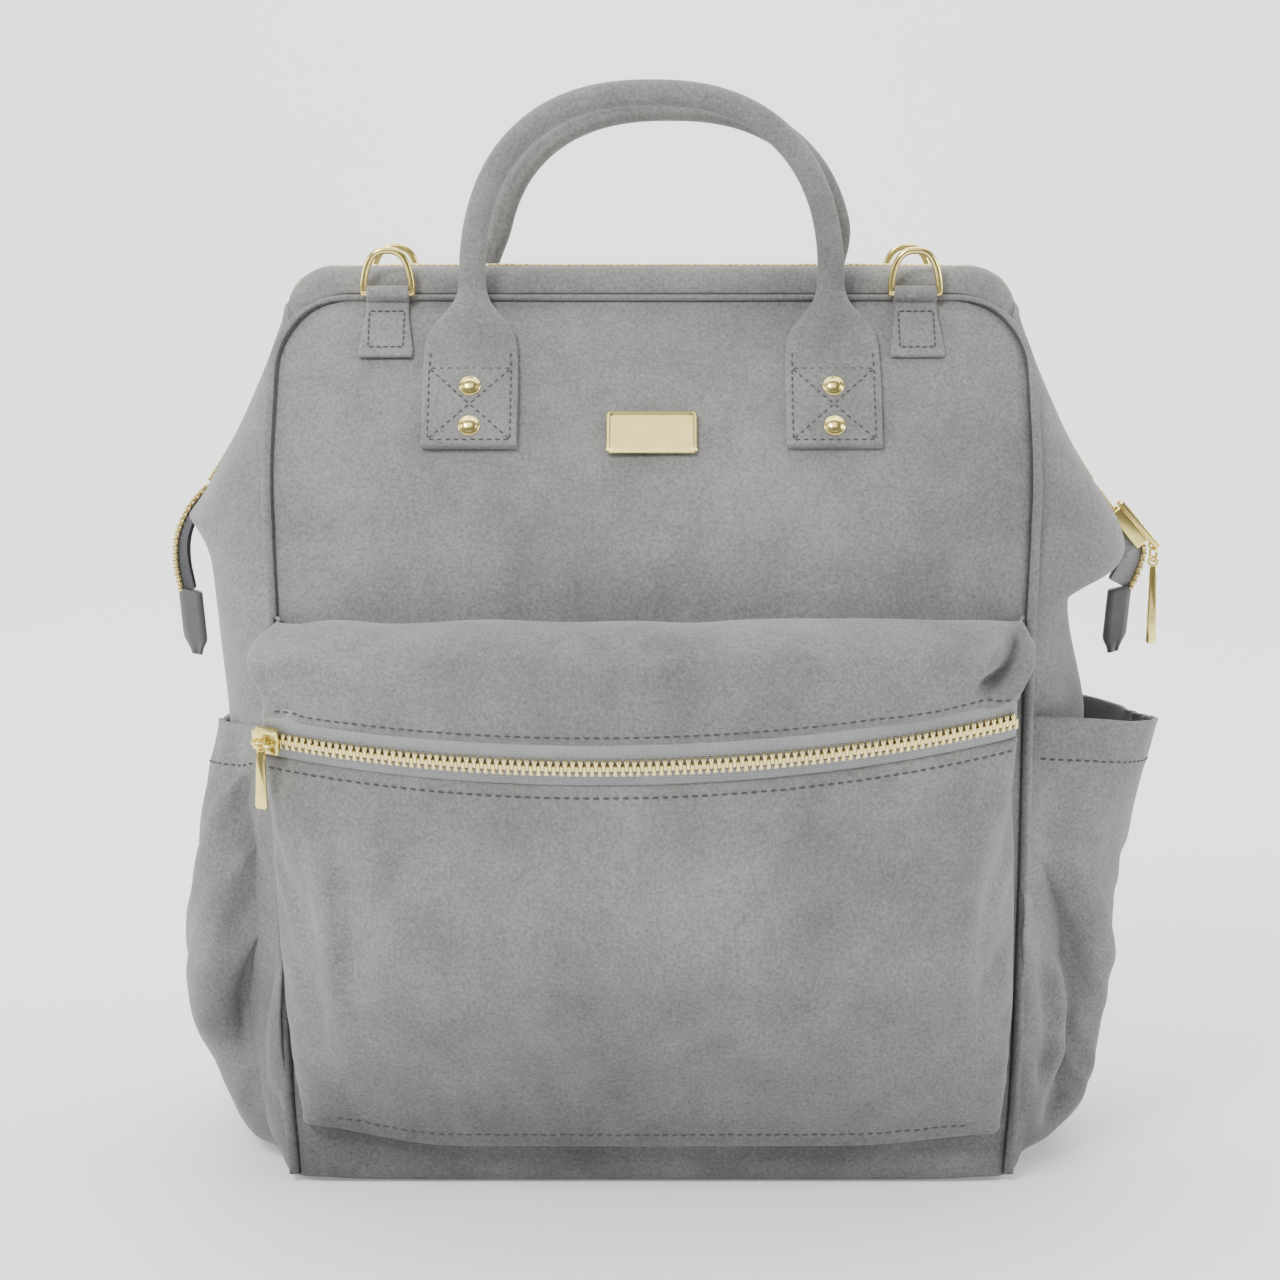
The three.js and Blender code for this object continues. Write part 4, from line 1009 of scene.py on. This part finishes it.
def side_pocket_grid(side, columns, rows):
    """Pocket round one side wall, from just behind the front seam to the back one."""
    swell = right_swell if side > 0 else left_swell
    rim_front, rim_back = RIM_Z[side]
    grid = []
    for z in np.linspace(4, 200, rows):
        wall = wall_section(side, z)
        stand = 1.6 + max(float(swell(z)) - float(side_reach(z, side)) - 1.6, 0)
        row = resample(np.column_stack([wall, np.full(len(wall), z)]), columns)
        tangent = unit(np.gradient(row, axis=0))
        outward = np.column_stack([tangent[:, 1], -tangent[:, 0], np.zeros(columns)])
        share = np.linspace(-1, 1, columns)
        lift = 1.6 + (stand - 1.6) * (1 - share ** 4)
        row = row + outward * lift[:, None]
        row[:, 0] *= side
        rim = rim_front + (rim_back - rim_front) * smooth(-0.9, 0.9, share)
        row[:, 2] += (rim - 200) * smooth(120, 200, z)
        grid.append(row)
    return np.array(grid)


def build_side_pocket(side):
    name = NAME[side]
    grid = side_pocket_grid(side, 110, 120)
    held = edge_hold(grid.shape, top=False)
    grid = eased(relax(f"side_pocket_{name}_cloth", grid, held, 0.6, 0.02, 12), 8)
    out = grid_normals(grid) * side
    share = np.linspace(-1, 1, grid.shape[1])[None, :]
    top = smooth(165, 198, grid[..., 2])
    gathers = np.sin(share * 34 + 1.2 * np.sin(share * 11)) * (1.5 if side < 0 else 0.3)
    grid = grid + out * (gathers * top * (1 - np.abs(share) ** 6))[..., None]
    height = grid[..., 2]
    loose = (1 - np.abs(share) ** 3) * smooth(5, 30, height) * (1 - 0.7 * smooth(150, 190, height))
    grid = ripples(grid, out, 0.7, 110, 50 + side, loose)
    for line, width, depth in SIDE_FOLDS[side]:
        grid = fold(grid, line, width, depth, out)
    piece = shell(f"side_pocket_{name}_cloth", grid, 1.7, [SUEDE, LINING], side)
    fitted(piece, "bag", [f"side_pocket_{name}", f"side_pocket_hem_{name}"])
    sew_along(f"side_pocket_{name}_stitches", grid, -11, side, 2)


# ---------- mouth zip ----------

def mouth_ridge():
    """The zip's line and its outward direction, from the left foot over the top to the right."""
    z = np.linspace(PIVOT_Z + 6, SHOULDER_TOP, 50, endpoint=False)
    rise = np.column_stack([shoulder_x(z), np.zeros(50), z])
    rise_out = unit(np.array([SHOULDER_X, 0, SHOULDER_Z]) - rise)
    bend = np.linspace(-CORNER_ANGLE, math.pi / 2, 24)
    turn_out = np.column_stack([np.cos(bend), np.zeros(24), np.sin(bend)])
    turn = np.array([CORNER_X, 0, CORNER_Z]) + CORNER_R * turn_out
    right = np.concatenate([rise, turn])
    out = np.concatenate([rise_out, turn_out])
    flat_x = np.linspace(-CORNER_X, CORNER_X, 80)[1:-1]
    flat = np.column_stack([flat_x, np.zeros(78), np.full(78, TOP_Z)])
    flat_out = np.broadcast_to([0.0, 0, 1.0], flat.shape)
    path = np.concatenate([mirror(right, 0), flat, right[::-1]])
    return path, np.concatenate([mirror(out, 0), flat_out, out[::-1]])


def build_mouth_zip(half):
    side = SIDE[half]
    path, out = mouth_ridge()
    away = np.broadcast_to([0.0, side, 0], path.shape)
    teeth = joined(f"{half}_mouth_teeth", tooth_parts(path + out * 1.3, out, away, side > 0), TEETH)
    fitted(teeth, f"{half}_mouth", [f"{half}_zip_half"])
    rows = [path + away * y + out * height
            for y, height in ((0.7, 0.1), (2.5, 0.1), (4.2, 0.15), (6.2, 0.3), (8.5, -0.55))]
    tape = shell(f"{half}_mouth_tape", np.array(rows), 0.8, [TAPE], side)
    fitted(tape, f"{half}_mouth")


def tail_route(side):
    """Where the zip's free end hangs below the hinge pin."""
    if side > 0:
        down = [(float(shoulder_x(z)), z) for z in (TAIL_TOP, 288, 280, 272, 268)]
        down += [(220, 262), (217.5, 255), (215, 250)]
    else:
        down = [(float(shoulder_x(TAIL_TOP)), TAIL_TOP), (206.5, 286), (212, 274), (213, 262), (211, 249)]
    return spline([(side * x, 0, z) for x, z in down], 60)


def build_tail(side):
    """The zip's free end: its tape folded back behind the closed teeth, narrow at the hinge pin."""
    name = NAME[side]
    path = tail_route(side)
    tangent = unit(np.gradient(path, axis=0))
    out = side * np.column_stack([-tangent[:, 2], np.zeros(len(path)), tangent[:, 0]])
    share = np.linspace(0, 1, len(path))
    pinch = smooth(0, 1, share)[:, None]
    gather = 0.45 + 0.55 * smooth(0, 0.25, share)[:, None]
    # painted shade: the left tail takes the darker copy of the tape
    depth, look = (7.0, TAPE) if side > 0 else (4.0, SHADED_TAPE)
    rows = []
    for y in np.linspace(-1, 1, 13):
        wide = np.array([0.0, y * 13, 0]) * (0.62 - 0.4 * pinch)
        back = out * -(abs(y) ** 1.5) * depth * (0.8 + 0.5 * pinch)
        rows.append(path + (wide + back) * gather)
    tape = shell(f"zip_tail_{name}_tape", np.array(rows), 0.8, [look], side)
    fitted(tape, "bag", [f"zip_tail_{name}"])
    away = np.broadcast_to([0.0, 1.0, 0], path.shape)
    teeth = joined(f"zip_tail_{name}_teeth", closed_chain(path + out * 1.0, out, away), TEETH)
    fitted(teeth, "bag")


def build_end_tab(side):
    """Leather folded over the zip's end: two leaves with a rolled edge, cut to a blunt point."""
    name = NAME[side]
    x0, top = (210.5, 249.0) if side > 0 else (207.0, 248.0)
    angle = np.linspace(0, 2 * math.pi, 28, endpoint=False)
    c, s = round_power(angle, 0.6)
    rings = []
    for t in np.linspace(0, 1, 18):
        width = 10.6 * (1 - 0.55 * smooth(0.72, 1.0, t))
        across = width / 2 * c
        groove = 1.3 * np.exp(-((across - 0.8) / 0.8) ** 2) * np.sign(s)
        x = side * (x0 + 0.8 - 2.4 * t) + across
        z = top + 1 - 29 * t + across * 0.25 * side
        rings.append(np.column_stack([x, 3.4 * s - groove, z]))
    piece = stacked(f"zip_end_tab_{name}_leather", rings, TRIM, turned=True)
    fitted(piece, "bag", [f"zip_end_tab_{name}"])


# ---------- handles ----------

def handle_route(side, rise, sideways):
    """Centre line of one handle, from the foot of its left tab over the arch to the right one,
    with the outward direction, half width and half thickness at each point."""
    tab_z = np.linspace(TAB_LOW, TAB_HIGH, 26)
    tab = np.array([[HANDLE_X, -float(panel_depth(HANDLE_X, z)), z] for z in tab_z])
    tab_out = np.array([panel_normal(HANDLE_X, z) for z in tab_z])
    tab = tab + tab_out * (2.0 + 4.2 * smooth(352, TAB_HIGH, tab_z))[:, None]
    c, s = round_power(np.linspace(0.0, math.pi / 2, 60), 2 / 2.4)
    arch_half = np.column_stack([HANDLE_X * c, -(HANDLE_Y - 10 * s ** 2), HANDLE_Z + rise * s])
    right = np.concatenate([tab, arch_half[2:]])
    path = np.concatenate([mirror(right, 0), right[::-1][1:]])
    path[:, 0] += sideways * smooth(HANDLE_Z - 8, HANDLE_Z + 26, path[:, 2])
    path = resample(path, 260)
    height = path[:, 2]
    width = profile([(319, 20.4), (354, 20.4), (366, 18.6), (374, 12.5), (380, 7.8), (388, 5.9),
                     (480, 5.9)])(height)
    thick = 1.7 + 4.0 * smooth(352, 388, height)
    low = 1 - smooth(350, 386, height)
    out = np.array([panel_normal(HANDLE_X, min(z, 378.0)) for z in height]) * low[:, None]
    out = unit(out + np.array([0, -1.0, 0]) * (1 - low)[:, None])
    if side > 0:
        path = mirror(path, 1)
        out = mirror(out, 1)
    return path, out, width, thick


def build_handle(half):
    """Handle and its two tabs as one rolled strap, flat at the tabs and round over the arch."""
    side = SIDE[half]
    path, out, width, thick = handle_route(side, *HANDLE_ARCH[side])
    tangent = unit(np.gradient(path, axis=0))
    across = unit(np.cross(tangent, out))
    out = np.cross(across, tangent)
    angle = np.linspace(0, 2 * math.pi, 40, endpoint=False)
    seam = 1 - 0.1 * np.exp(-((angle - 1.5 * math.pi) / 0.16) ** 2)
    rings = []
    for i, point in enumerate(path):
        z = point[2]
        c, s = round_power(angle, 2 / (2 + 6 * (1 - float(smooth(340, 378, z)))))
        bell = 1.6 * (1 - c ** 2) * float(smooth(346, 366, z) * (1 - smooth(374, 392, z)))
        sideward = across[i] * (c * width[i] * seam)[:, None]
        rings.append(point + sideward + out[i] * (s * thick[i] * seam + bell)[:, None])
    strap = stacked(f"{half}_handle_strap", rings, SUEDE, turned=side > 0)
    nodes = [f"{half}_handle", f"{half}_handle_tab_left", f"{half}_handle_tab_right"]
    fitted(strap, nodes=nodes)
    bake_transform(strap)


def on_panel(x, z, lift, side):
    """A place on the front (-1) or back (1) panel, lifted off it."""
    point = np.array([x, -float(panel_depth(x, z)), z]) + panel_normal(x, z) * lift
    return mirror(point, 1) if side > 0 else point


def sewn_line(points, lift, side, pitch=3.4):
    """Stitches on a tab along a line of (x, z) corners."""
    parts = []
    for start, end in zip(np.asarray(points[:-1], float), np.asarray(points[1:], float)):
        count = max(int(math.dist(start, end) / 2), 2)
        places = [start + (end - start) * t for t in np.linspace(0, 1, count)]
        path = np.array([on_panel(x, z, lift, side) for x, z in places])
        ups = np.array([panel_normal(x, z) for x, z in places])
        if side > 0:
            ups = mirror(ups, 1)
        parts += stitch_parts(path, ups, 2.3, pitch, 0.36)
    return parts


def sewn_box(x, half, low, high):
    """Corners of a box of stitches, back to the first one."""
    return [(x - half, low), (x + half, low), (x + half, high), (x - half, high), (x - half, low)]


def build_tab_details(half):
    """Stitching and rivets of the handle tabs."""
    side = SIDE[half]
    inner, low, high = 17.6, 321.5, 350
    parts = []
    for sign in (-1, 1):
        x = sign * HANDLE_X
        parts += sewn_line([*sewn_box(x, inner, low, high), (x + inner, high)], 3.75, side)
        parts += sewn_line([(x - inner, high), (x + inner, low)], 3.75, side)
        for edge in (-1, 1):
            rise = [(x + edge * away, z)
                    for away, z in ((inner, high), (17.2, 357), (15.6, 365), (11.4, 371))]
            parts += sewn_line(rise, 4.2, side)
    seams = joined(f"{half}_handle_tab_stitches", parts, THREAD)
    fitted(seams, f"{half}_mouth")
    for sign in (-1, 1):
        for level, z in RIVET_Z.items():
            build_rivet(f"{half}_rivet_{NAME[sign]}_{level}", sign * HANDLE_X, z, side, f"{half}_mouth")


def build_rivet(node, x, z, side, body):
    """Domed cap with a turned rim, bedded in the tab."""
    normal = panel_normal(x, z)
    if side > 0:
        normal = mirror(normal, 1)
    right = np.array([1.0, 0, 0])
    up = np.cross(normal, right)
    turns = np.linspace(0, 2 * math.pi, 40, endpoint=False)
    circle = np.cos(turns)[:, None] * right + np.sin(turns)[:, None] * up
    dome = ((4.5, -0.4), (4.75, 0.1), (4.7, 0.5), (4.3, 0.85), (3.9, 0.95), (3.4, 1.35), (2.5, 1.85),
            (1.4, 2.15), (0.3, 2.25))
    at = on_panel(x, z, 3.5, side)
    piece = stacked(f"{node}_cap", [at + normal * height + radius * circle for radius, height in dome], GOLD)
    fitted(piece, body, [node])


# ---------- rings, plate ----------

def ring_route(x, side):
    """Closed line of a D-ring's wire: its bow, then its straight bar."""
    half, rise = 10.6, 18.6
    angle = np.linspace(0, math.pi, 60)
    c, _ = round_power(angle, 0.75)
    bow = np.column_stack([half * c, np.zeros(60), rise * np.sin(angle) ** 0.95])
    bar = np.column_stack([np.linspace(-half, half, 24)[1:-1], np.zeros(22), np.zeros(22)])
    return np.concatenate([bow, bar]) + np.array([x, side * RING_Y, RING_Z])


def build_ring(half, sign):
    name = NAME[sign]
    path = ring_route(sign * RING_X, SIDE[half])
    points, faces = tube_parts(path, RING_WIRE, 16, (0, -1, 0), closed=True)
    piece = make_mesh(f"{half}_ring_{name}_wire", points, faces, [GOLD])
    fitted(piece, f"{half}_ring_{name}", [f"{half}_d_ring_{name}"])


def build_ring_tab(half, sign):
    """Strap folded over the ring's bar, its two leaves sewn down on the panel."""
    side = SIDE[half]
    name = NAME[sign]
    x = sign * RING_X
    leaf = np.array([on_panel(x, z, 3.0, -1) for z in np.linspace(356, 378, 18)])
    turn = np.linspace(math.radians(-60), math.radians(190), 26)
    loop = np.column_stack([np.full(26, x), -RING_Y - 3.4 * np.cos(turn), RING_Z + 3.4 * np.sin(turn)])
    back = np.array([[x, -18.9, 380.5], [x, -20.4, 378], [x, -float(panel_depth(x, 374)) - 1.0, 374]])
    route = resample(np.concatenate([leaf, loop, back]), 90)
    half_width = 8.4 + 2.6 * (1 - smooth(356, 378, route[:, 2]))
    grid = np.array([route + np.array([1.0, 0, 0]) * (t * half_width)[:, None]
                     for t in np.linspace(-1, 1, 17)])
    if side > 0:
        grid = mirror(grid, 1)
    piece = shell(f"{half}_ring_tab_{name}_strap", grid, 1.9, [SUEDE], side)
    fitted(piece, f"{half}_mouth", [f"{half}_ring_tab_{name}"])
    seams = sewn_line(sewn_box(x, 7.6, 359, 373.5), 3.2, side, 3.0)
    fitted(joined(f"{half}_ring_tab_{name}_stitches", seams, THREAD), f"{half}_mouth")


def build_name_plate():
    """Blank plate with a raised rim."""
    normal = panel_normal(0, PLATE_Z)
    at = on_panel(0, PLATE_Z, 2.6, -1)
    right = np.array([1.0, 0, 0])
    up = np.cross(right, -normal)
    outer = np.array(rounded_rectangle(*PLATE_HALF, 1.6))
    rings = []
    for inset, height in ((0.5, -1.6), (0, -1.2), (0, -0.2), (0.35, 0.15), (1.0, 0.2), (1.3, 0.0),
                          (1.7, -0.25), (6, -0.25)):
        ring = outer * (1 - inset / PLATE_HALF)
        rings.append(at + ring[:, :1] * right + ring[:, 1:] * up + normal * height)
    piece = stacked("blank_name_plate", rings, GOLD)
    piece.data.polygons.foreach_set("use_smooth", np.zeros(len(piece.data.polygons), bool))
    fitted(piece, "front_mouth", ["name_plate"])


# ---------- sliders and pulls ----------

def torus_parts(centre, axis, radius, wire, steps=36):
    """Points and faces of a round ring of wire."""
    axis = unit(np.asarray(axis, float))
    first = unit(np.cross(axis, [0.3, 0.5, 0.8]))
    second = np.cross(axis, first)
    turns = np.linspace(0, 2 * math.pi, steps, endpoint=False)
    circle = np.cos(turns)[:, None] * first + np.sin(turns)[:, None] * second
    return tube_parts(np.asarray(centre) + radius * circle, wire, 12, axis, closed=True)


def pull_parts(centre, hinge, face, length, top_width, end_width):
    """An eye round the slider's bar and a flat bar that widens down to its end."""
    down = np.array([0, 0, -1.0])
    across = unit(np.cross(down, face))
    top, end = top_width / 2, end_width / 2
    outline = np.array([(-top, -2.0), (top, -2.0), (end, 1 - length), (end - 0.8, -length),
                        (0.8 - end, -length), (-end, 1 - length)])
    fine = [a + (b - a) * t
            for a, b in zip(outline, np.roll(outline, -1, axis=0)) for t in (0, 0.25, 0.5, 0.75)]
    points, faces = plate_parts(fine, 1.5, 0.4)
    blade = placed((points + [0, 0.75, 0], faces), centre, across, -face, -down)
    return [torus_parts(centre, hinge, 2.0, 0.62), blade]


SLIDER_Z = 276.0
slope_at = np.array([float(shoulder_x(SLIDER_Z)), 0, SLIDER_Z])
slope_out = unit(np.array([SHOULDER_X - slope_at[0], 0, SHOULDER_Z - SLIDER_Z]))
slope_down = np.array([slope_out[2], 0, -slope_out[0]])
PULL_ALONG = 12.5          # the slider's cross pin, down the slope and out from it
PULL_OUT = 5.8


def on_slope(along, aside, out):
    """A place given down the shoulder, across the zip and out from it, at the slider's spot."""
    return slope_at + slope_down * along + np.array([0, aside, 0]) + slope_out * out


def build_mouth_slider():
    """A channel round the teeth with a long open frame on top, and the cross pin in its end."""
    across = np.array([0, 1.0, 0])
    blocks = [((20, 10.6, 1.5), (-1, 0, 3.85), 0.7), ((13.5, 6.6, 1.4), (-5, 0, 6.2), 0.5),
              ((1.8, 7.0, 2.4), (14.0, 0, 5.9), 0.6), ((1.8, 7.0, 2.0), (PULL_ALONG - 7.5, 0, 5.8), 0.6)]
    for sign in (-1, 1):
        blocks.append(((20, 1.5, 6.4), (-1, sign * 4.55, 1.4), 0.7))
        blocks.append(((26.6, 1.6, 2.6), (1.4, sign * 3.6, 5.9), 0.5))
    parts = [placed(rounded_box(size, round_by), on_slope(*at), slope_down, across, slope_out)
             for size, at, round_by in blocks]
    pin = [on_slope(PULL_ALONG, t, PULL_OUT) for t in (-3.4, 0, 3.4)]
    parts.append(tube_parts(pin, 0.95, 14, (0, 0, 1)))
    fitted(joined("mouth_slider_body", parts, GOLD), "top_zip_slider", ["mouth_slider"])


def build_mouth_pull():
    """Two links from the slider's pin and a flat bar, hanging straight down."""
    pin = on_slope(PULL_ALONG, 0, PULL_OUT)
    link = np.array([0, 0, -5.2])
    parts = pull_parts(pin + link * 1.6, (0, 1.0, 0.0), np.array([0, -1.0, 0]), 37.5, 3.0, 4.6)
    parts.append(torus_parts(pin + np.array([0, 0, -1.0]), (0, 1.0, 0.0), 2.0, 0.6))
    parts.append(torus_parts(pin + link, (1.0, 0.3, 0), 3.2, 0.65))
    fitted(joined("mouth_pull_bar", parts, GOLD), "top_zip_pull", ["mouth_pull"])


SLIDER_ANGLE = -math.asin(154 / POCKET_R)
POCKET_CENTRE = np.array([0, POCKET_R - POCKET_EDGE - POCKET_SAG, 0])


def on_pocket_zip(point):
    """A place given along the zip, out from the tape (towards -Y) and up, at the slider's spot."""
    x, y, z = np.asarray(point) + np.array([0, 0.8 - POCKET_R, ZIP_Z])
    c = math.cos(SLIDER_ANGLE)
    s = math.sin(SLIDER_ANGLE)
    return tilt(np.array([x * c - y * s, x * s + y * c, z]) + POCKET_CENTRE)


def build_pocket_slider():
    """A cap astride the teeth with a bent bridge along it for the pull."""
    origin = on_pocket_zip((0, 0, 0))
    axes = [on_pocket_zip(axis) - origin for axis in np.eye(3)]
    blocks = [((12.4, 1.6, 9.0), (0, -4.2, 0), 0.6), ((7.6, 1.6, 11.0), (2.2, -4.2, 0), 0.6),
              ((10, 2.9, 1.3), (0, -2.4, -4.6), 0.4), ((10, 2.9, 1.3), (0, -2.4, 4.6), 0.4)]
    parts = [placed(rounded_box(size, round_by), on_pocket_zip(at), *axes) for size, at, round_by in blocks]
    bend = ((-4.6, -4.6), (-4.5, -7.0), (-3.4, -8.1), (3.4, -8.1), (4.5, -7.0), (4.6, -4.6))
    bridge = spline([on_pocket_zip((x, y, 0)) for x, y in bend], 30)
    parts.append(tube_parts(bridge, 0.95, 12, axes[2], flat=0.7))
    piece = joined("pocket_slider_body", parts, GOLD)
    fitted(piece, "pocket_zip_slider", ["pocket_slider"])


def build_pocket_pull():
    along = np.array([math.cos(SLIDER_ANGLE), math.sin(SLIDER_ANGLE), 0])
    outward = np.array([along[1], -along[0], 0])
    parts = pull_parts(on_pocket_zip((0, -8.2, 0)), along, outward, 27, 3.6, 5.6)
    fitted(joined("pocket_pull_bar", parts, GOLD), "pocket_zip_pull", ["pocket_pull"])


# ---------- inside ----------

def dress_inside():
    """The pieces that stay as the frame has them: lining, board, wires and pins."""
    looks = {"inner_lining": LINING, "base_board": BOARD}
    steel = ("frame_pin_left", "frame_pin_right", "front_frame_wire", "back_frame_wire")
    looks.update(dict.fromkeys(steel, STEEL))
    for name, material in looks.items():
        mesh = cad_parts[name].data
        mesh.materials.clear()
        mesh.materials.append(material)


# ---------- stage ----------

def build_camera():
    data = bpy.data.cameras.new("camera")
    data.sensor_width = 36
    data.lens = 82.0
    camera = bpy.data.objects.new("camera", data)
    bpy.context.collection.objects.link(camera)
    camera.location = (-0.005, -1.3, 0.45)
    camera.rotation_euler = (math.radians(90 - 9.78), 0, 0)
    bpy.context.scene.camera = camera


def build_backdrop():
    """A pale floor that curves up behind the bag, in metres."""
    turn = np.linspace(0, math.pi / 2, 16)
    bend = np.column_stack([1.6 + 0.9 * np.sin(turn), 0.9 - 0.9 * np.cos(turn)])
    outline = np.concatenate([[[-2.4, 0]], bend, [[2.5, 3.4]]])
    vertices = [(x, y, z - 0.0005) for y, z in outline for x in (-4, 4)]
    faces = [(2 * i, 2 * i + 1, 2 * i + 3, 2 * i + 2) for i in range(len(outline) - 1)]
    look = Look("backdrop")
    tone = look.ramp(look.noise(2), [(0.3, grey(0.9)), (0.7, grey(0.93))])
    material = look.done(tone, None, {
        "Emission Color": (1, 1, 1, 1), "Emission Strength": 0.25, "Roughness": 0.6})
    make_mesh("backdrop", vertices, faces, [material], scale=1)


def build_lights():
    lamp("key", (-1.0, -1.5, 1.9), (0, 0, 0.3), 0.7, 44)
    lamp("card", (0.05, -1.5, 2.0), (0, 0, 0.3), 1.2, 9)
    lamp("left", (-1.9, -0.3, 0.9), (0, 0, 0.25), 0.9, 18)
    lamp("right", (1.9, -0.5, 0.9), (0, 0, 0.25), 0.9, 25)
    lamp("top", (0, 0.5, 2.2), (0, 0, 0.2), 1.4, 5)
    lamp("behind", (0, 1.0, 2.4), (0, 2.4, 0.6), 2.6, 95)
    world = bpy.data.worlds.new("studio")
    world.use_nodes = True
    background = world.node_tree.nodes["Background"]
    background.inputs["Color"].default_value = (1, 0.99, 0.97, 1)
    background.inputs["Strength"].default_value = 0.2
    bpy.context.scene.world = world


def lamp(name, place, target, size, power):
    data = bpy.data.lights.new(name, "AREA")
    data.size = size
    data.energy = power
    obj = bpy.data.objects.new(name, data)
    bpy.context.collection.objects.link(obj)
    obj.location = place
    obj.rotation_mode = "QUATERNION"
    obj.rotation_quaternion = (Vector(target) - Vector(place)).to_track_quat("-Z", "Y")


build_camera()
build_backdrop()
build_lights()
build_base()
for half in ("front", "back"):
    build_panel(half)
    build_piping(half)
    build_mouth_zip(half)
    build_handle(half)
    build_tab_details(half)
    for side in (-1, 1):
        build_strip(half, side)
        build_ring(half, side)
        build_ring_tab(half, side)
for side in (-1, 1):
    build_side_pocket(side)
    build_tail(side)
    build_end_tab(side)
build_pocket_lower()
build_pocket_upper()
build_pocket_zip()
build_name_plate()
build_mouth_slider()
build_mouth_pull()
build_pocket_slider()
build_pocket_pull()
dress_inside()
